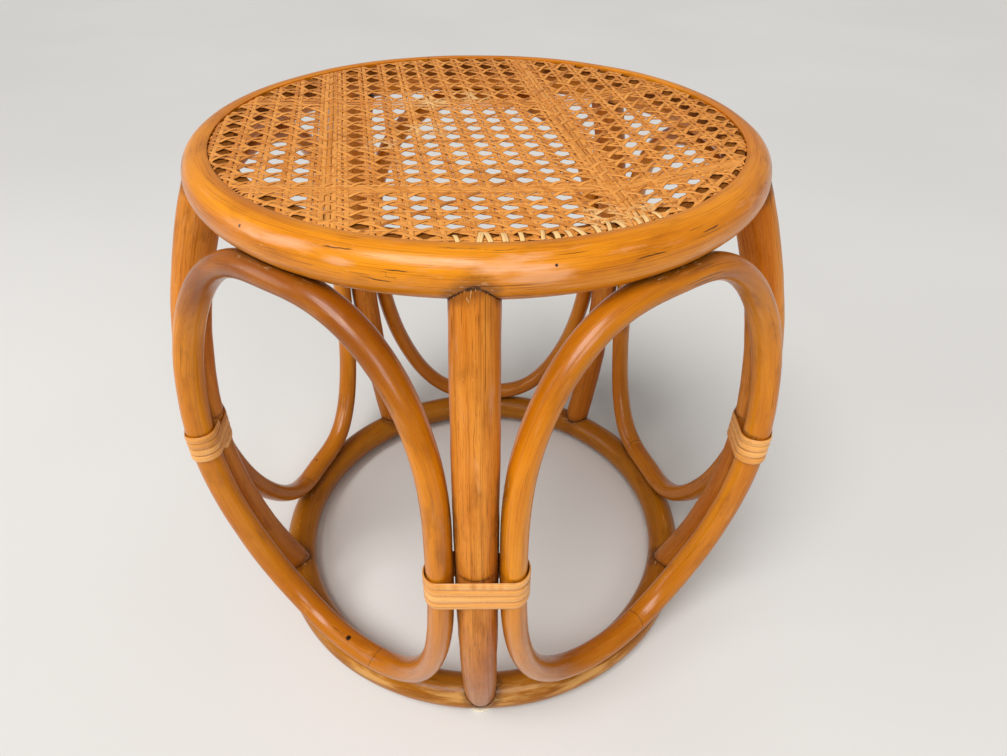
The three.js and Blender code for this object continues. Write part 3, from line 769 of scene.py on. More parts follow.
# Bent rattan near the floor: browner, and darker still with the painted shade towards the floor, with its
# lacquer scuffed all round
BASE = LacqueredRattan("lacquered_rattan_base", "#DA8C1E", "#B66C0C", "#743E04", "#5A3006", 0.25, 0.36,
                       0.55, "#E8B268", 0.30, 0.18, seamed=True)
# Bent wood with hardly any lacquer, matt and painted dark as shade, so that the seat's eyes look deep
INNER = LacqueredRattan("bent_wood_ring", "#8E5418", "#743E0E", "#54300A", "#402008", 0.40, 0.50,
                        0.0, "#C69A6C", 0.60, 0.0)
# Woven split cane: each strand has a tone of its own, with painted shade at its edges where strands cross
CANE = SplitCane("woven_cane", "#EE9E42", "#D88426", "#8A480E", 0.44, 0.55, 0.80)
# Wound cane peel: smoother, paler and glossier than the woven strands, with painted shade at the edges of its
# turns
PEEL = SplitCane("bound_cane_peel", "#FAB866", "#EEA248", "#B06C26", 0.31, 0.8, 0.58)
# Drawn steel with zinc plating: grey, bright in places and clouded by tarnish
STEEL = PlainRod("zinc_plated_steel", "#8D99A3", "#4E545A", 0.38, 1.0)
# Moulded polyethylene: off-white, even and half matt
PLASTIC = PlainRod("moulded_polyethylene", "#F2E9D2", "#DDD0B0", 0.40, 0.0)
# Turned beech, raw: pale and matt
DOWEL = PlainRod("turned_beech", "#D8B889", "#BB9460", 0.7, 0.0)


def dress(piece: Object, material: Material, slot: str, *nodes: str) -> None:
    """Sets a piece in the frame.

    Args:
        piece: the new piece.
        material: its finish.
        slot: the name of a material slot; it is not used.
        nodes: the CAD nodes it stands for.
    """
    piece.data.materials.clear()
    piece.data.materials.append(material)
    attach(piece, "root")
    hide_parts(*nodes)
    LOG.info("%s stands for %s, %d corners", piece.name, ", ".join(nodes), len(piece.data.vertices))


# Poles


@dataclass
class Layout:
    """Sizes that the sub-assemblies share, in millimetres."""

    seat_gap: float = 0.3
    ring_flat: float = math.cos(math.pi / 10)
    base_radius: float = 186.8
    base_tube: float = 14.25
    glide_height: float = 2.8
    hoop_radius: float = 183.8
    hoop_tube: float = 14.25
    hoop_height: float = 417.15
    post_foot_radius: float = 12.9
    post_head_radius: float = 13.9
    post_barrel: Barrel = Barrel(191.8, 188.4, 38.5)
    loop_barrel: Barrel = Barrel(186.0, 186.5, 47.0)
    loop_width: float = 8.4
    loop_depth: float = 10.3
    loop_post_gap: float = 0.5
    saddle: float = 1.2

    @property
    def base_height(self) -> float:
        """The height of the middle of the base ring."""
        return self.glide_height + self.seat_gap + self.base_tube * self.ring_flat

    def ring(self, side: Side) -> tuple[float, float]:
        """The radius and the height of the ring at a loop's lower or upper end."""
        hoop = side is Side.UPPER
        return (self.hoop_radius, self.hoop_height) if hoop else (self.base_radius, self.base_height)

    def post_radius(self, height: np.ndarray) -> np.ndarray:
        """A post's radius at a height."""
        share = self.post_barrel.share(height)
        return self.post_foot_radius + (self.post_head_radius - self.post_foot_radius) * share


def ring_line(radius: float, height: float, tube: float) -> PoleLine:
    """The middle of a level ring, for measuring to."""
    size = np.full(400, tube)
    return PoleLine(polar(radius, np.linspace(0, TURN, len(size)), height), size, size, True)


@dataclass(frozen=True)
class Crack:
    """An open crack in the surface of a pole.

    Attributes:
        spot: its middle.
        along: the way that it runs.
        facing: the way that the surface faces.
        reach: half its length, in millimetres.
    """

    spot: np.ndarray
    along: np.ndarray
    facing: np.ndarray
    reach: float


def mark_poles(shape: Shape, others: Sequence[PoleLine], marks: Sequence[np.ndarray],
               brown: float = 0.0) -> None:
    """Fills the fields for dark joints with their painted crevice shade, nail holes, and the upper part of a
    pole, which is browner and painted in shade under the hoop.

    Args:
        shape: the pole's shape.
        others: the poles that it touches.
        marks: the places of its nail holes.
        brown: how far its top is made browner and darkened with painted shade under the hoop.
    """
    count = len(shape.corners)
    nearest = np.full((count, 3), FAR)
    for mark in marks:
        away = shape.corners - mark
        closer = np.linalg.norm(away, axis=1) < np.linalg.norm(nearest, axis=1)
        nearest[closer] = away[closer]
    shape.fields = {"worn": np.zeros(count)} | shape.fields | {
        "gap": np.maximum(clearance(shape.corners, others), -1.0) if others else np.full(count, FAR),
        "mark": nearest, "brown": np.full(count, brown), "split": np.full((count, 3), FAR)}


def add_cracks(shape: Shape, cracks: Sequence[Crack], limit: float = 1.7) -> None:
    """Fills the field for the open cracks in a pole.

    It holds the place along and beside the nearest crack, and how far off that crack's zone lies.

    Args:
        shape: the pole's shape.
        cracks: its cracks.
        limit: how far off a zone is still written, where 1 is its edge.
    """
    nearest = np.full(len(shape.corners), limit)
    for crack in cracks:
        away = shape.corners - crack.spot
        run = away @ crack.along / crack.reach
        aside = away @ np.cross(crack.along, crack.facing)
        off = np.stack([run / 1.2, aside / 5, away @ crack.facing / 4])
        zone = np.abs(off).max(axis=0)
        closer = zone < nearest
        nearest[closer] = zone[closer]
        shape.fields["split"][closer] = np.stack([run, aside, zone], axis=1)[closer]


def shade_edge(shape: Shape, middle: object) -> None:
    """Paints crevice shade on a pole along the upper edge of a binding, which is given by its middle's height.
    """
    away = np.abs(shape.corners[:, 2] - middle - BINDING_HALF)
    shape.fields["gap"] = np.minimum(shape.fields["gap"], 0.1 + 2.6 * away)


@dataclass
class Loop:
    """One bent loop: a closed pole, flattened by the bending, that rests on both rings.

    A crack is given by its loop, its share of the way along the pole, the way that it faces, in
    degrees from outwards towards the loop's outer side, and half its length.
    """

    layout: Layout
    index: int
    widest: float = 261.96
    top_exponent: float = 2.55
    bottom_exponent: float = 2.9
    scarf_share: float = 1 / 34
    nail_radius: float = 1.0
    nail_depth: float = 0.6
    # how far each loop's top is made browner and darker with painted shade under the hoop
    top_browns_and_shades: tuple[float, ...] = (0.45, 0.4, 0.5, 0.5, 1.0)
    open_holes: tuple[float, ...] = (0.0, 0.0, 0.0, 1.6, 3.0)
    cracks: tuple[tuple[int, float, float, float], ...] = (
        (4, 0.9575, -78.0, 8.0), (4, 0.13, 40.0, 16.0), (0, 0.86, 20.0, 6.0), (3, 0.4, 10.0, 7.0),
    )
    sides: int = 40
    step: float = 2.4

    @property
    def azimuth(self) -> float:
        """The middle of the loop."""
        return (self.index + 0.5) * SECTOR

    def resting(self, side: Side) -> float:
        """The height at which the pole rests on a ring.

        Args:
            side: the loop's lower or upper end.

        Returns:
            The height of the pole's middle, found by closing in on it.
        """
        lay = self.layout
        radius, height = lay.ring(side)
        spacing = lay.base_tube + lay.loop_width - lay.saddle
        sign = 1.0 if side is Side.LOWER else -1.0
        found = height + sign * spacing
        for _ in range(40):
            found = height + sign * math.sqrt(spacing**2 - (lay.loop_barrel.radius(found) - radius) ** 2)
        return found

    def half_angle(self, height: np.ndarray) -> np.ndarray:
        """Half the angle that the loop spans at its widest, for poles at a height.

        Args:
            height: the height.

        Returns:
            The angle, in radians.
        """
        lay = self.layout
        reach = lay.post_radius(np.minimum(height, self.widest)) + lay.loop_width + lay.loop_post_gap
        return SECTOR / 2 - np.arcsin(reach / lay.loop_barrel.radius(height))

    def limb(self, height: float) -> tuple[float, float]:
        """Where a loop's side stands as seen from its post, below the loop's widest.

        Args:
            height: the height.

        Returns:
            How far to the side and how far inwards.
        """
        lay = self.layout
        share = (self.widest - height) / (self.widest - self.resting(Side.LOWER))
        spread = (1 - share**self.bottom_exponent) ** (1 / self.bottom_exponent)
        turn = SECTOR / 2 - float(self.half_angle(height)) * spread
        radius = lay.loop_barrel.radius(height)
        return radius * math.sin(turn), lay.post_barrel.radius(height) - radius * math.cos(turn)

    def line(self) -> PoleLine:
        """The pole's middle, starting at the scarf near the middle of its bottom.

        Returns:
            The closed line of the loop.
        """
        lay = self.layout
        turn = np.linspace(0, TURN, 3000) - math.pi / 2
        sine, cosine = np.sin(turn), np.cos(turn)
        upper = sine >= 0
        power = 2 / np.where(upper, self.top_exponent, self.bottom_exponent)
        ends = self.resting(Side.UPPER) - self.widest, self.widest - self.resting(Side.LOWER)
        height = self.widest + np.where(upper, *ends) * np.sign(sine) * np.abs(sine) ** power
        swing = self.half_angle(height) * np.sign(cosine) * np.abs(cosine) ** power
        fine = polar(lay.loop_barrel.radius(height), self.azimuth + swing, height)
        run = run_along(fine)
        start = int(np.searchsorted(run, run[-1] * self.scarf_share))
        points = even(np.concatenate([fine[start:], fine[1 : start + 1]]), self.step)
        size = np.ones(len(points))
        return PoleLine(points, size * lay.loop_depth, size * lay.loop_width, True)

    def crack(self, share: float, facing: float, reach: float) -> Crack:
        """A crack that runs along the pole.

        Args:
            share: how far along the pole it lies.
            facing: the way that it faces, in degrees.
            reach: half its length, in millimetres.

        Returns:
            The crack.
        """
        points = self.line().points
        at = int(share * len(points)) % len(points)
        along = unit(points[(at + 1) % len(points)] - points[at - 1])
        radial = square_to(points[at] * (1.0 - UP), along)
        turn = math.radians(facing)
        away = radial * math.cos(turn) + np.cross(along, radial) * math.sin(turn)
        return Crack(points[at] + away * self.layout.loop_width, along, away, reach)

    def nail(self, side: Side) -> tuple[np.ndarray, np.ndarray, float]:
        """The line of the nail at the loop's lower or upper end.

        Args:
            side: the end.

        Returns:
            The nail's start, direction and length.
        """
        at = self.resting(side)
        radius, height = self.layout.ring(side)
        middle = polar(self.layout.loop_barrel.radius(at), self.azimuth, at)
        return aim(middle, polar(radius, self.azimuth, height), self.nail_depth - self.layout.loop_width)

    def build(self, neighbours: Sequence[PoleLine], finish: Material, steel: Material) -> None:
        """Builds the pole and its two nails.

        Args:
            neighbours: the poles that the loop touches.
            finish: the pole's material.
            steel: the nails' material.
        """
        name = LOOP_NAMES[self.index]
        shape = sweep(self.line(), self.sides, 11 + self.index, 0.22)
        hole = self.open_holes[self.index]
        starts = [self.nail(Side.LOWER)[0]] if hole else []
        mark_poles(shape, neighbours, starts, self.top_browns_and_shades[self.index])
        shape.fields["mark"] /= max(hole, 1.0)
        add_cracks(shape, [self.crack(*rest) for loop, *rest in self.cracks if loop == self.index])
        swing = np.arctan2(shape.corners[:, 0], -shape.corners[:, 1]) - self.azimuth
        before, after = BINDING_HEIGHTS[self.index], BINDING_HEIGHTS[(self.index + 1) % SECTORS]
        # painted crevice shade along the upper edges of the bindings on both sides
        shade_edge(shape, np.where(np.mod(swing + math.pi, TURN) < math.pi, before, after))
        dress(shape.piece(f"bent_loop_{name}"), finish, "loop_pole", f"loop_{name}")
        for side in Side:
            start, direction, length = self.nail(side)
            outline = [(self.nail_radius * 0.7, 0), (self.nail_radius, 0.3), (self.nail_radius, length - 2),
                       (0.2, length)]
            piece = spin(outline, start, direction, 20).piece(f"wire_nail_{side.value}_{name}", 40)
            dress(piece, steel, "steel", f"{side.value}_nail_{name}")


@dataclass
class Post:
    """One bowed post, coped to the seat hoop, with a rounded tongue over the base ring.

    One post has an open screw bore. In the others the screw is sunk deeper and filled over.
    """

    layout: Layout
    index: int
    tongue: float = 12.0
    tip: float = 0.06
    low: float = 11.5
    high: float = 411.0
    screw_rise: float = 22.0
    screw_seat: float = 3.2
    head_radius: float = 3.4
    head_height: float = 2.2
    shank_radius: float = 1.7
    clearance: float = 0.3
    open_bore: int = 3
    bore_reach: float = 30.0
    sunk: float = 9.0
    sides: int = 48
    step: float = 2.2
    fine_step: float = 0.6

    def line(self) -> PoleLine:
        """The pole's middle, with a section that closes to a round end at the foot.

        Returns:
            The open line of the post.
        """
        lay = self.layout
        height = np.linspace(self.low, self.high, 800)
        fine = polar(lay.post_barrel.radius(height), self.index * SECTOR, height)
        body = even(fine, self.step)
        foot = even(fine[:48], self.fine_step)
        points = np.concatenate([foot, body[body[:, 2] > foot[-1, 2] + 1.0]])
        share = np.clip((points[:, 2] - self.low) / self.tongue, 0.0, 1.0)
        size = lay.post_radius(points[:, 2]) * np.maximum(np.sqrt(1 - (1 - share) ** 2), self.tip)
        return PoleLine(points, size, size, False)

    def screw(self) -> tuple[np.ndarray, np.ndarray, float]:
        """The foot screw's start under its head, its direction and its length.

        Returns:
            All three.
        """
        lay = self.layout
        height = lay.post_barrel.foot_height + self.screw_rise
        target = polar(lay.base_radius + lay.base_tube / 2, self.index * SECTOR, lay.base_height)
        radius = lay.post_barrel.radius(height) - lay.post_radius(height)
        return aim(polar(radius, self.index * SECTOR, height), target, self.screw_seat)

    def bore(self, pole: Object) -> None:
        """Cuts the screw's bore into the pole.

        Args:
            pole: the pole.
        """
        start, direction, _ = self.screw()
        radius = self.head_radius + self.clearance
        cutter = spin([(radius, -self.bore_reach), (radius, 0.2)], start, direction).piece("bore_cutter")
        step = pole.modifiers.new("bore", "BOOLEAN")
        step.operation = "DIFFERENCE"
        step.solver = "EXACT"
        step.object = cutter
        graph = bpy.context.evaluated_depsgraph_get()
        cut = bpy.data.meshes.new_from_object(pole.evaluated_get(graph))
        pole.modifiers.clear()
        pole.data = cut
        bpy.data.objects.remove(cutter)

    def build(self, neighbours: Sequence[PoleLine], finish: Material, steel: Material) -> None:
        """Builds the pole and its foot screw.

        Args:
            neighbours: the poles that the post touches.
            finish: the pole's material.
            steel: the screw's material.
        """
        name = POST_NAMES[self.index]
        shape = sweep(self.line(), self.sides, 31 + self.index, 0.18)
        start, direction, length = self.screw()
        # a little browning and painted shade under the hoop near its top
        mark_poles(shape, neighbours, [], 0.2)
        # painted crevice shade along the upper edge of its binding
        shade_edge(shape, BINDING_HEIGHTS[self.index])
        pole = shape.piece(f"bowed_post_{name}", 60)
        if self.index == self.open_bore:
            self.bore(pole)
        else:
            start, length = start + direction * self.sunk, length - self.sunk
        dress(pole, finish, "post_pole", f"post_{name}")
        r, h, s = self.head_radius, self.head_height, self.shank_radius
        outline = [(0.5, -h + 0.6), (1.1, -h), (r - 0.5, -h), (r, -h + 0.4), (r, 0), (s, 0.2),
                   (s, length - 4), (0.2, length)]
        piece = spin(outline, start, direction).piece(f"wood_screw_{name}", 35)
        dress(piece, steel, "steel", f"foot_screw_{name}")


@dataclass(frozen=True)
class Wear:
    """A rubbed place on a ring.

    Attributes:
        azimuth: where it lies round the stool, in degrees.
        facing: where it lies round the pole, in degrees up from level.
        length: how far it fades along the pole, in millimetres.
        width: how far it fades round the pole, in millimetres.
        strength: how strong it is.
    """

    azimuth: float
    facing: float
    length: float
    width: float
    strength: float


@dataclass
class Rings:
    """The base ring, the seat hoop and the caned ring that lies in the hoop's step.

    A crack in the hoop is given by its azimuth and the way that it faces, in degrees, half its
    length in millimetres, and how steeply it crosses the grain.
    """

    layout: Layout
    panel_outer: float = 179.2
    panel_inner: float = 165.0
    panel_bottom: float = 420.5
    panel_top: float = 429.5
    step_radius: float = 179.7
    step_floor: float = 420.2
    step_corners: int = 4
    ease: float = 1.8
    steps: int = 900
    panel_steps: int = 360
    arc_steps: int = 44
    brads: int = 7
    first_brad: float = math.radians(-39.6)
    base_scarf: float = math.radians(163)
    hoop_scarf: float = math.radians(198)
    roughness: float = 0.25
    hoop_wear: tuple[Wear, ...] = (
        Wear(3, 44, 26, 7, 0.9), Wear(9.5, 26, 16, 6, 1.0), Wear(-29, 42, 20, 4, 1.1),
        Wear(-20, 26, 9, 3, 0.9), Wear(-36, 34, 8, 3, 0.6), Wear(38, 2, 14, 3, 0.7),
        Wear(24, 50, 22, 2, 0.6), Wear(-62, 35, 20, 5, 0.6), Wear(58, 30, 26, 6, 0.6),
    )
    hoop_cracks: tuple[tuple[float, float, float, float], ...] = (
        (-2.5, 78, 13, 0.0), (4.5, 72, 8, 0.04), (-14.5, -1, 11, -0.06), (-20.5, 51, 10, 0.06),
        (-11, 24, 7, 0.0), (27, 18, 12, 0.04), (40, 34, 8, 0.0), (-33, 10, 9, 0.05),
    )
    base_wear: tuple[Wear, ...] = (
        Wear(0, 40, 60, 10, 0.9), Wear(-30, 20, 34, 7, 0.9), Wear(26, 24, 40, 8, 0.9),
        Wear(62, 10, 30, 6, 0.6), Wear(-64, 10, 30, 6, 0.6),
    )

    def age(self, shape: Shape, seed: int, places: Sequence[Wear], keep: int = 0) -> None:
        """Makes a turned ring slightly uneven, as a bent pole is, and rubs its lacquer.

        Args:
            shape: the ring.
            seed: sets the unevenness.
            places: the worn places.
            keep: corners of each section that stay true.
        """
        run, out, up = shape.fields["grain"].T
        angle = np.arctan2(up, out)
        azimuth = np.arctan2(shape.corners[:, 0], -shape.corners[:, 1])
        rise = uneven(seed, run / run.max(), angle, self.roughness)
        corners = len(shape.corners) // (self.steps + 1)
        rise[np.arange(len(rise)) % corners < keep] = 0.0
        shape.corners += rise[:, None] * polar(np.cos(angle), azimuth, np.sin(angle))
        total = np.zeros(len(angle))
        for spot in places:
            off = np.stack([azimuth - math.radians(spot.azimuth), angle - math.radians(spot.facing)])
            along, aside = (off + math.pi) % TURN - math.pi
            run = along * self.layout.hoop_radius / spot.length
            side = aside * self.layout.hoop_tube / spot.width
            total = np.maximum(total, spot.strength * np.exp(-(run**2) - side**2))
        shape.fields["worn"] = total

    def crack(self, azimuth: float, facing: float, reach: float, climb: float) -> Crack:
        """A crack in the hoop.

        Args:
            azimuth: where it lies round the stool, in degrees.
            facing: where it lies round the pole, in degrees up from level.
            reach: half its length, in millimetres.
            climb: how steeply it crosses the grain.

        Returns:
            The crack.
        """
        lay = self.layout
        turn, rise = math.radians(azimuth), math.radians(facing)
        away = polar(math.cos(rise), turn, math.sin(rise))
        spot = polar(lay.hoop_radius, turn, lay.hoop_height) + away * lay.hoop_tube
        level = polar(1.0, turn + math.pi / 2, 0.0)
        return Crack(spot, unit(level + climb * np.cross(away, level)), away, reach)

    def brad_marks(self) -> list[np.ndarray]:
        """Where the brads enter the hoop.

        Returns:
            One place for each brad.
        """
        lay, height = self.layout, (self.panel_top + self.panel_bottom) / 2
        reach = lay.hoop_radius + math.sqrt(lay.hoop_tube**2 - (height - lay.hoop_height) ** 2)
        return [polar(reach, self.first_brad + i * TURN / self.brads, height) for i in range(self.brads)]

    def hoop_outline(self) -> np.ndarray:
        """The hoop's section: a circle with its inner upper side cut away in a step.

        Returns:
            Its corners, as radius and height.
        """
        lay, wall, floor = self.layout, self.step_radius, self.step_floor
        first = math.pi - math.asin((floor - lay.hoop_height) / lay.hoop_tube)
        last = TURN + math.acos((wall - lay.hoop_radius) / lay.hoop_tube)
        turn = np.linspace(first, last, self.arc_steps + 1)
        arc = np.stack([lay.hoop_radius + lay.hoop_tube * np.cos(turn),
                        lay.hoop_height + lay.hoop_tube * np.sin(turn)], axis=1)
        step = [[wall, floor + 7.0], [wall, floor + 3.5], [wall, floor], [wall - 3, floor]]
        return np.concatenate([step, arc])

    def build(self, poles: Sequence[PoleLine], finishes: dict[str, Material]) -> None:
        """Builds the three rings.

        Args:
            poles: the posts' and the loops' lines.
            finishes: the materials by name.
        """
        lay = self.layout
        turn = (np.arange(self.arc_steps) + 0.5) * TURN / self.arc_steps
        flat = 1 - (1 - lay.ring_flat) * np.clip(-np.sin(turn), 0, 1) ** 6  # worn, clear of the floor
        circle = np.stack([lay.base_radius + lay.base_tube * np.cos(turn),
                           lay.base_height + lay.base_tube * flat * np.sin(turn)], axis=1)
        base = lathe(circle, self.steps, self.base_scarf)
        self.age(base, 3, self.base_wear)
        mark_poles(base, poles, [])
        dress(base.piece("round_base_ring"), finishes["base"], "base_pole", "base_ring")
        hoop = lathe(self.hoop_outline(), self.steps, self.hoop_scarf)
        self.age(hoop, 5, self.hoop_wear, self.step_corners + 1)
        mark_poles(hoop, poles, self.brad_marks())
        add_cracks(hoop, [self.crack(*given) for given in self.hoop_cracks])
        dress(hoop.piece("round_seat_hoop", 50), finishes["hoop"], "hoop_pole", "seat_hoop")
        inner, outer, bottom, top, e = (
            self.panel_inner, self.panel_outer, self.panel_bottom, self.panel_top, self.ease)
        outline = np.array([
            [inner, bottom + e / 2], [inner + e / 2, bottom], [outer - e / 2, bottom],
            [outer, bottom + e / 2], [outer, top - e], [outer - e * 0.3, top - e * 0.3],
            [outer - e, top], [inner + e, top], [inner + e * 0.3, top - e * 0.3], [inner, top - e],
        ])
        panel = lathe(outline, self.panel_steps, self.base_scarf)
        mark_poles(panel, [], [])
        dress(panel.piece("bent_inner_ring", 40), finishes["inner"], "inner_ring", "panel_ring")


# Webbing

STRAND_SECTION = np.array([[-0.5, -0.1], [-0.36, 0.36], [0.0, 0.5], [0.36, 0.36], [0.5, -0.1], [0.0, -0.5]])


@dataclass
class Webbing:
    """Six-way cane webbing: paired uprights and rows, and single strands both ways aslant.

    The eyes stand in leaning columns and sloping rows. Two columns and two rows are woven
    shut, which makes the dense bands. A pale spot is given by its place and its reach.
    """

    layout: Layout
    pitch: float = 16.4
    first_column: float = -155.4
    reference: float = -80.0
    lean: float = -0.171
    first_row: float = -160.0
    front_pitch: float = 11.37
    growth: float = 0.544
    slope: float = 0.03
    side_slope: float = 0.42
    slope_ease: float = 6.0
    bands: tuple[int, int] = (4, 14)
    lines: int = 23
    upright_width: float = 3.15
    row_width: float = 2.65
    slant_width: float = 3.05
    upright_share: float = 0.108
    row_share: float = 0.112
    thickness: float = 0.55
    lift: float = 0.3
    slant_lift: float = 0.48
    middle: float = 430.45
    wraps: int = 15
    wrap_points: int = 12
    wrap_reach: tuple[float, float] = (-2.0, 33.0)
    pale_spots: tuple[tuple[float, float, float], ...] = (
        (-38.0, 51.0, 26.0), (-36.0, -10.0, 24.0), (-9.0, 65.0, 22.0), (-64.0, -36.0, 16.0),
        (70.0, -150.0, 24.0), (96.0, -140.0, 18.0),
    )
    sag: float = 1.6
    rim: float = 179.3
    bend_start: float = 175.5
    drop: float = 1.8
    step: float = 1.7
    fewest: int = 6

    def grid(self, column: np.ndarray, row: np.ndarray) -> tuple[np.ndarray, np.ndarray]:
        """The place of a point of the weave.

        Args:
            column: its column, whole numbers at the eyes.
            row: its row, likewise.

        Returns:
            x and y.
        """
        across = self.first_column + self.pitch * column
        past = (across - self.first_column - self.pitch * self.bands[1]) / self.slope_ease
        climb = self.side_slope * self.slope_ease * np.logaddexp(0, past)
        line = self.first_row + self.front_pitch * row + self.growth * row * (row - 1) / 2
        y = line + self.slope * across + climb
        return across + self.lean * (y - self.reference), y

    def drape(self, x: np.ndarray, y: np.ndarray) -> np.ndarray:
        """How far the weave lies under its level: its sag, its waves and its turned-down rim.

        Args:
            x: places across the seat.
            y: places from its front to its back.

        Returns:
            The depth at each place.
        """
        radius = np.hypot(x, y)
        sag = self.sag * np.clip(1 - (radius / 168) ** 2, 0, 1)
        waves = 0.28 * np.sin(x / 17 + 1.3) * np.sin(y / 23 + 0.4) * np.clip((165 - radius) / 40, 0, 1)
        share = np.clip((radius - self.bend_start) / (self.rim - self.bend_start), 0, 1)
        return sag + waves + self.drop * (1 - np.sqrt(np.clip(1 - share**2.2, 0, 1)))

    def strip(self, middle: np.ndarray, side: np.ndarray, up: np.ndarray, widths: object, width: float,
              run: np.ndarray, tone: float) -> Shape:
        """The skin of one strand.

        Args:
            middle: its points.
            side: the way across it at each point.
            up: the way out of its face.
            widths: its width at each point.
            width: its usual width.
            run: the run along its grain.
            tone: sets its own tone.

        Returns:
            The shape.
        """
        section = STRAND_SECTION * np.stack(np.broadcast_arrays(widths, self.thickness), axis=-1)[..., None, :]
        return ribbon(middle, side, up, section, (run[:, None], STRAND_SECTION[:, 0] * width, tone))

    def strand(self, column: np.ndarray, row: np.ndarray, lift: np.ndarray, width: float,
               seed: int) -> Shape | None:
        """One strand of cane, cut to the rim.

        Args:
            column: the strand's columns, finely spaced.
            row: its rows.
            lift: its height in the weave.
            width: its width.
            seed: sets its tone and its small wanderings.

        Returns:
            Its shape, or None where it misses the seat.
        """
        rng = np.random.default_rng(seed)
        x, y = self.grid(column, row)
        inside = np.flatnonzero(np.hypot(x, y) < self.rim)
        if len(inside) < self.fewest:
            return None
        given = np.stack([x, y, lift])[:, inside[0] : inside[-1] + 1]
        run = run_along(given[:2].T)
        steps = np.linspace(0, run[-1], max(self.fewest, int(run[-1] / self.step)))
        x, y, lift = (np.interp(steps, run, values) for values in given)
        phase = rng.uniform(0, TURN, 3)
        shift = 0.22 * np.sin(steps / 31 + phase[0]) + 0.12 * np.sin(steps / 11 + phase[1])
        side = unit(np.stack([-np.gradient(y), np.gradient(x), np.zeros(len(steps))], axis=1))
        radius = np.hypot(x, y)
        shift *= np.clip((self.rim - radius) / 8, 0, 1)
        x, y = x + side[:, 0] * shift, y + side[:, 1] * shift
        lift = lift * np.clip((self.bend_start + 2 - radius) / 5, 0.15, 1)
        middle = np.stack([x, y, self.middle + lift - self.drape(x, y)], axis=1)
        along = unit(np.gradient(middle, axis=0))
        side = square_to(side, along)
        widths = width * (1 + rng.uniform(-0.07, 0.07)) * (1 + 0.05 * np.sin(steps / 23 + phase[2]))
        return self.strip(middle, side, np.cross(along, side), widths, width, steps + seed * 53.0, seed * 3.7)

    def woven(self, at: np.ndarray, index: int, crossed: Sequence[float], reach: float) -> np.ndarray:
        """A strand's lift, over and under the strands that it crosses."""
        bumps = [(-1) ** (index + j) * np.exp(-(((at - c) / reach) ** 2)) for j, c in enumerate(crossed)]
        return self.lift * sum(bumps)

    def weave(self) -> list[tuple[np.ndarray, np.ndarray, np.ndarray, float]]:
        """Every strand's columns, rows, lift and width.

        Returns:
            One entry for each strand, in the order in which they are drawn.
        """
        made, fine = [], 1400
        uprights, levels = (
            sorted([n + 0.5 + s * share for n in range(-2, self.lines) for s in (-1, 1)]
                   + [n + s * dense for n in self.bands for s in (-1, 0, 1)])
            for share, dense in ((self.upright_share, 0.2), (self.row_share, 0.215)))
        at = np.linspace(-2, self.lines, fine)
        for i, c in enumerate(uprights):
            width = self.upright_width * (1.08 if min(abs(c - band) for band in self.bands) < 0.3 else 1.0)
            made.append((np.full(fine, c), at, self.woven(at, i, levels, 0.085), width))
        for j, r in enumerate(levels):
            width = self.row_width * (1.12 if min(abs(r - band) for band in self.bands) < 0.3 else 1.0)
            made.append((at, np.full(fine, r), self.woven(at, j + 1, uprights, 0.075), width))
        wide = np.linspace(-4, self.lines + 2, fine * 2)
        lift = self.slant_lift * np.cos(TURN * wide)
        made += [(wide, n + 0.5 - wide, -lift, self.slant_width) for n in range(-4, 2 * self.lines)]
        made += [(wide, wide - n - 0.5, lift, self.slant_width) for n in range(-self.lines - 2, self.lines + 2)]
        return made

    def wrap(self, index: int) -> Shape:
        """A short pale strand end that is drawn over the rim.

        Args:
            index: which wrap this is.

        Returns:
            Its shape.
        """
        rng = np.random.default_rng(900 + index)
        low, high = self.wrap_reach
        share = (index + rng.uniform(-0.25, 0.25)) / (self.wraps - 1)
        radius = np.linspace(self.rim - rng.uniform(7.0, 11.0), self.rim + 0.1, self.wrap_points)
        lean = math.radians(rng.uniform(-22, 22))
        turn = math.radians(low + (high - low) * share) + np.tan(lean) * (radius - self.rim) / self.rim
        rise = 0.9 * np.sin(np.linspace(0.1, 0.92, self.wrap_points) * math.pi)
        side = polar(1.0, turn + math.pi / 2, 0.0)
        width = rng.uniform(2.6, 3.8)
        run, tone = radius - self.rim + 77.0 * index, 1000.0 + 3.7 * index
        return self.strip(polar(radius, turn, self.middle + rise), side, UP[None], width, width, run, tone)

    def build(self, cane: Material) -> None:
        """Builds the whole net as one piece of many strands.

        Args:
            cane: the strands' material.
        """
        strands = [self.strand(*given, seed) for seed, given in enumerate(self.weave())]
        woven = [strand for strand in strands if strand is not None]
        shape = Shape.join(woven + [self.wrap(i) for i in range(self.wraps)])
        pale = np.zeros(len(shape.corners))
        for x, y, reach in self.pale_spots:
            away = np.hypot(shape.corners[:, 0] - x, shape.corners[:, 1] - y) / reach
            pale = np.maximum(pale, 0.6 * np.exp(-(away**2)))
        pale[sum(len(strand.corners) for strand in woven) :] = 1.0
        shape.fields["pale"] = pale
        dress(shape.piece("woven_cane_seat"), cane, "cane_webbing", "cane_webbing")


# Bindings


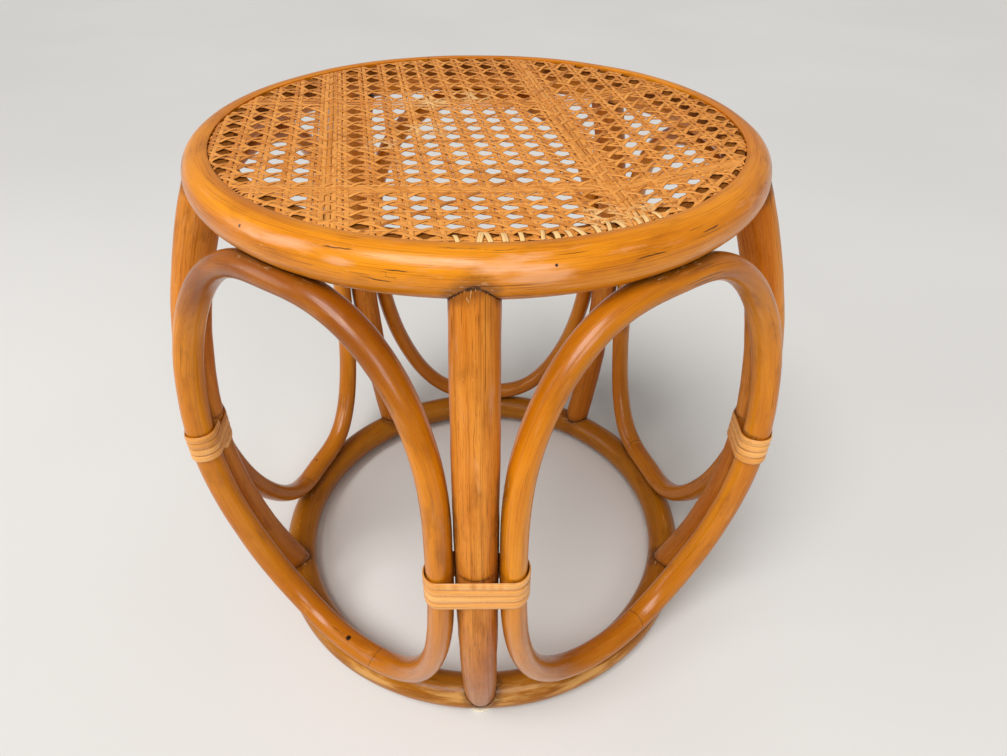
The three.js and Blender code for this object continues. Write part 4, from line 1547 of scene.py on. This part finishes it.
@dataclass(frozen=True)
class BeltPole:
    """A pole seen from above, in a binding's own plan: the post at the origin, +y inwards."""

    x: float
    y: float
    width: float
    depth: float

    def point(self, facing: np.ndarray, grip: float) -> np.ndarray:
        """Points of a belt round the pole, as x, y and facing.

        Args:
            facing: the ways that the belt faces.
            grip: how far it is kept off the pole.

        Returns:
            The points.
        """
        c, s = np.cos(facing), np.sin(facing)
        support = np.hypot(self.width * c, self.depth * s)
        x = self.x + (self.width**2 / support + grip) * c
        y = self.y + (self.depth**2 / support + grip) * s
        return np.stack([x, y, facing], axis=-1)

    def reach(self, facing: float, grip: float) -> float:
        """How far the belt reaches in the way that it faces."""
        x, y, _ = self.point(np.array(facing), grip)
        return float(x * math.cos(facing) + y * math.sin(facing))


@dataclass
class Binding:
    """A strip of cane peel wound four times round a post and the loops on its two sides."""

    layout: Layout
    index: int
    loop: Loop
    turns: int = 4
    width: float = 6.2
    thickness: float = 1.2
    pitch: float = 6.3
    clearance: float = 0.5
    tuck_depth: float = 3.0
    tuck_bend: float = 1.6
    arc_steps: int = 16

    @property
    def grip(self) -> float:
        """How far the strip's middle is kept off the poles."""
        return self.clearance + self.thickness / 2

    @property
    def low(self) -> float:
        """The height at which the strip's first turn begins."""
        return BINDING_HEIGHTS[self.index] - self.turns * self.pitch / 2

    def poles(self) -> tuple[BeltPole, BeltPole, BeltPole, float]:
        """The post, the right loop, the left loop and the facing at which the belt leaves a loop.

        Returns:
            The three poles and that facing, in radians.
        """
        lay, (side, inwards) = self.layout, self.loop.limb(self.low)
        size = lay.post_radius(BINDING_HEIGHTS[self.index])
        post = BeltPole(0.0, 0.0, size, size)
        right, left = (BeltPole(x, inwards, lay.loop_width, lay.loop_depth) for x in (side, -side))
        low, high = 0.0, math.pi / 2
        for _ in range(40):
            middle = (low + high) / 2
            leads = right.reach(middle, self.grip) > post.reach(middle, self.grip)
            low, high = (middle, high) if leads else (low, middle)
        return post, right, left, low

    def tucked(self, side: int) -> np.ndarray:
        """An end that bends from the belt into the valley beside the post.

        Args:
            side: 1 for the first end and -1 for the last.

        Returns:
            Points of the bend, as x, y and facing.
        """
        post, right, _, edge = self.poles()
        bend, deep = self.tuck_bend, self.tuck_depth
        share = (deep - right.y) / right.depth
        face = math.sqrt(post.width**2 - deep**2)
        valley = (face + right.x - right.width * math.sqrt(1 - share**2)) / 2
        x = valley - side * bend
        y = (post.reach(edge, self.grip) - bend - x * math.cos(edge)) / math.sin(edge)
        upright = 0.0 if side > 0 else math.pi
        facing = np.linspace(upright, edge, 9)
        arc = np.stack([x + bend * np.cos(facing), y + bend * np.sin(facing), facing], axis=1)
        return np.concatenate([[[valley, deep, upright]], arc])

    def line(self) -> tuple[np.ndarray, np.ndarray, np.ndarray]:
        """The strip's plan points, its facing and its heights.

        Returns:
            All three, in the order of the winding.
        """
        post, right, left, edge = self.poles()
        outside = 1.5 * math.pi
        lap = np.concatenate([
            pole.point(np.linspace(start, end, self.arc_steps), self.grip)
            for pole, start, end in ((post, edge, math.pi - edge), (left, math.pi - edge, outside),
                                     (right, outside, TURN + edge))])
        climb = (np.arange(len(lap)) + 1) / (len(lap) + 1)
        laps = np.concatenate([self.low + self.pitch * (i + climb) for i in range(self.turns)])
        first, last = self.tucked(1), self.tucked(-1)[::-1]
        top = self.low + self.turns * self.pitch
        plan = np.concatenate([first, np.tile(lap, (self.turns, 1)), last])
        height = np.concatenate([np.full(len(first), self.low), laps, np.full(len(last), top)])
        return plan[:, :2], plan[:, 2], height

    def build(self, peel: Material) -> None:
        """Builds the wound strip.

        Args:
            peel: its material.
        """
        plan, facing, height = self.line()
        azimuth = self.index * SECTOR
        away, across = polar(1.0, azimuth, 0.0), polar(1.0, azimuth + math.pi / 2, 0.0)
        radius = self.layout.post_barrel.radius(BINDING_HEIGHTS[self.index])
        run = run_along(plan)
        wave = 0.16 * np.sin(run / 19 + self.index) + 0.1 * np.sin(run / 7.3)
        middle = away * (radius - plan[:, 1:]) + across * plan[:, :1] + UP * (height + wave)[:, None]
        out = across * np.cos(facing)[:, None] - away * np.sin(facing)[:, None]
        right_half = [(0.0, 1.05), (0.5, 0.88), (0.86, 0.45), (1.0, -0.2), (1.0, -0.7), (0.8, -1.0)]
        left_half = [(-x, y) for x, y in reversed(right_half[1:])]
        section = np.array(left_half[1:] + right_half + left_half[:1]) * (self.width / 2, self.thickness / 2)
        tone = np.floor(run / 150)[:, None] * 9.1 + self.index * 40
        grain = (run[:, None] + self.index * 711.0, section[:, 0], tone)
        shape = ribbon(middle, UP[None], out, section, grain, capped=True)
        name = POST_NAMES[self.index]
        dress(shape.piece(f"peel_binding_{name}", 70), peel, "cane_peel", f"binding_{name}")


# Glides and hidden pieces


@dataclass
class Glides:
    """Four moulded glides, each with its nail, under the base ring."""

    layout: Layout
    count: int = 4
    radius: float = 11.2
    chamfer: float = 1.0
    nail_radius: float = 1.3
    nail_length: float = 12.0

    def build(self, plastic: Material) -> None:
        """Builds the glides.

        Args:
            plastic: their material.
        """
        r, h, n = self.radius, self.layout.glide_height, self.nail_radius
        tip = h + self.nail_length
        outline = [(r - self.chamfer, 0), (r - 0.3, 0.35), (r, self.chamfer), (r, h - 0.4), (r - 0.4, h),
                   (n, h), (n, tip - 1), (0.3, tip)]
        for i in range(self.count):
            start = polar(self.layout.base_radius, i * TURN / self.count, 0)
            piece = spin(outline, start, UP, 40).piece(f"nail_on_glide_{i + 1}", 40)
            dress(piece, plastic, "glide_plastic", f"glide_{i + 1}")


def dress_hidden(dowel: Material, steel: Material) -> None:
    """Gives the CAD's own dowels and brads, which lie inside the poles, their finishes.

    Args:
        dowel: the dowels' material.
        steel: the brads' material.
    """
    for name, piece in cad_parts.items():
        if name.startswith(("head_dowel", "panel_brad")):
            points = np.zeros(len(piece.data.vertices) * 3, np.float32)
            piece.data.vertices.foreach_get("co", points)
            layer = piece.data.attributes.new("grain", "FLOAT_VECTOR", "POINT")
            layer.data.foreach_set("vector", points / MM)
            piece.data.materials.clear()
            piece.data.materials.append(dowel if name.startswith("head_dowel") else steel)
            LOG.info("%s keeps its CAD shape", name)


# Studio


@dataclass
class Studio:
    """A pale floor, soft lamps and the camera."""

    focal_px: float = 702.56
    image_width: float = 1007.0
    yaw: float = 0.0204
    pitch: float = 0.6613
    roll: float = -0.0154
    eye: tuple[float, float, float] = (9.04, -494.16, 591.02)
    surround: float = 0.27
    floor_half: float = 9.0

    def camera(self) -> None:
        """Sets the camera at the photograph's viewpoint."""
        cy, sy = math.cos(self.yaw), math.sin(self.yaw)
        cp, sp = math.cos(self.pitch), math.sin(self.pitch)
        ahead = Vector((sy * cp, cy * cp, -sp))
        right = Vector((cy, -sy, 0.0))
        down = ahead.cross(right)
        c, s = math.cos(self.roll), math.sin(self.roll)
        turn = Matrix((c * right + s * down, s * right - c * down, -ahead)).transposed().to_4x4()
        data = bpy.data.cameras.new("camera")
        data.sensor_fit = "HORIZONTAL"
        data.sensor_width = 36.0
        data.lens = self.focal_px / self.image_width * data.sensor_width
        data.clip_start = 0.01
        made = add_object("camera", data)
        made.matrix_world = Matrix.Translation(Vector(self.eye) * MM + Vector(stool_axis())) @ turn
        bpy.context.scene.camera = made

    def lamp(self, kind: str, name: str, spot: tuple[float, float, float], power: float,
             aim_height: float, **size: float) -> None:
        """A soft lamp aimed at the stool.

        Args:
            kind: the lamp's type.
            name: its name.
            spot: where it hangs, in metres, or the direction that a sun shines from.
            power: in watts, or a sun's strength.
            aim_height: the height that it aims at, in metres.
            size: its side in metres, or a sun's width in the sky.
        """
        data = bpy.data.lights.new(name, kind)
        data.energy = power
        for key, value in size.items():
            setattr(data, key, value)
        made = add_object(name, data)
        made.location = spot
        made.rotation_mode = "QUATERNION"
        made.rotation_quaternion = (Vector((0, 0, aim_height)) - Vector(spot)).to_track_quat("-Z", "Y")

    def floor(self) -> None:
        """A wide pale floor."""
        g = Graph(bpy.data.materials.new("matt_floor"))
        g.work(("place", PLACE), *noises("place", {"cloud": (0.8, 0.8, 0.8, 2.0, 0.55)}))
        tone = g.tone("#D6D4D0", ("cloud", 0.3, 0.7, "#DAD8D4"))
        mesh = bpy.data.meshes.new("floor")
        h = self.floor_half
        mesh.from_pydata([(-h, -h, 0), (h, -h, 0), (h, h, 0), (-h, h, 0)], [], [(0, 1, 2, 3)])
        mesh.materials.append(g.finish(tone, 0.85, "cloud", 0.0, {"IOR": 1.3}))
        add_object("floor", mesh)

    def world(self) -> None:
        """Even pale light from all round, which the camera alone sees at full strength."""
        made = bpy.data.worlds.new("studio")
        g = Graph(made)
        seen = g.add("ShaderNodeLightPath", {}).outputs["Is Camera Ray"]
        strength = g.add("ShaderNodeMapRange", {"Value": seen, "To Min": self.surround}).outputs[0]
        white = {"Color": (1.0, 1.0, 1.0, 1.0), "Strength": strength}
        back = g.add("ShaderNodeBackground", white).outputs[0]
        g.add("ShaderNodeOutputWorld", {"Surface": back})
        bpy.context.scene.world = made

    def build(self) -> None:
        """Builds the studio."""
        self.camera()
        self.floor()
        self.world()
        self.lamp("SUN", "key_sun", (-0.5, -0.75, 1.5), 2.5, 0.0, angle=math.radians(34.0))
        self.lamp("AREA", "front_lamp", (0.35, -1.35, 1.35), 7.0, 0.25, size=0.6)
        self.lamp("AREA", "side_lamp", (-1.35, -0.2, 0.9), 4.0, 0.25, size=0.7)
        bpy.context.scene.view_settings.view_transform = "Standard"


def main() -> None:
    """Builds every sub-assembly in order."""
    logging.basicConfig(level=logging.INFO, format="%(message)s")
    Studio().build()
    layout = Layout()
    finishes = {"hoop": HOOP.material(), "loop": LOOP.material(), "post": POST.material(),
                "base": BASE.material(), "inner": INNER.material()}
    steel = STEEL.material()
    posts = [Post(layout, i) for i in range(SECTORS)]
    loops = [Loop(layout, i) for i in range(SECTORS)]
    post_lines = [post.line() for post in posts]
    loop_lines = [loop.line() for loop in loops]
    rings = [ring_line(layout.base_radius, layout.base_height, layout.base_tube),
             ring_line(layout.hoop_radius, layout.hoop_height, layout.hoop_tube)]
    for i, loop in enumerate(loops):
        beside = [post_lines[i], post_lines[(i + 1) % SECTORS]]
        loop.build([*beside, *rings], finishes["loop"], steel)
    for i, post in enumerate(posts):
        beside = [loop_lines[i], loop_lines[(i - 1) % SECTORS]]
        post.build([*beside, *rings], finishes["post"], steel)
    Rings(layout).build([*post_lines, *loop_lines], finishes)
    Webbing(layout).build(CANE.material())
    peel = PEEL.material()
    for i in range(SECTORS):
        Binding(layout, i, loops[0]).build(peel)
    Glides(layout).build(PLASTIC.material())
    dress_hidden(DOWEL.material(), steel)


if __name__ == "__main__":
    main()
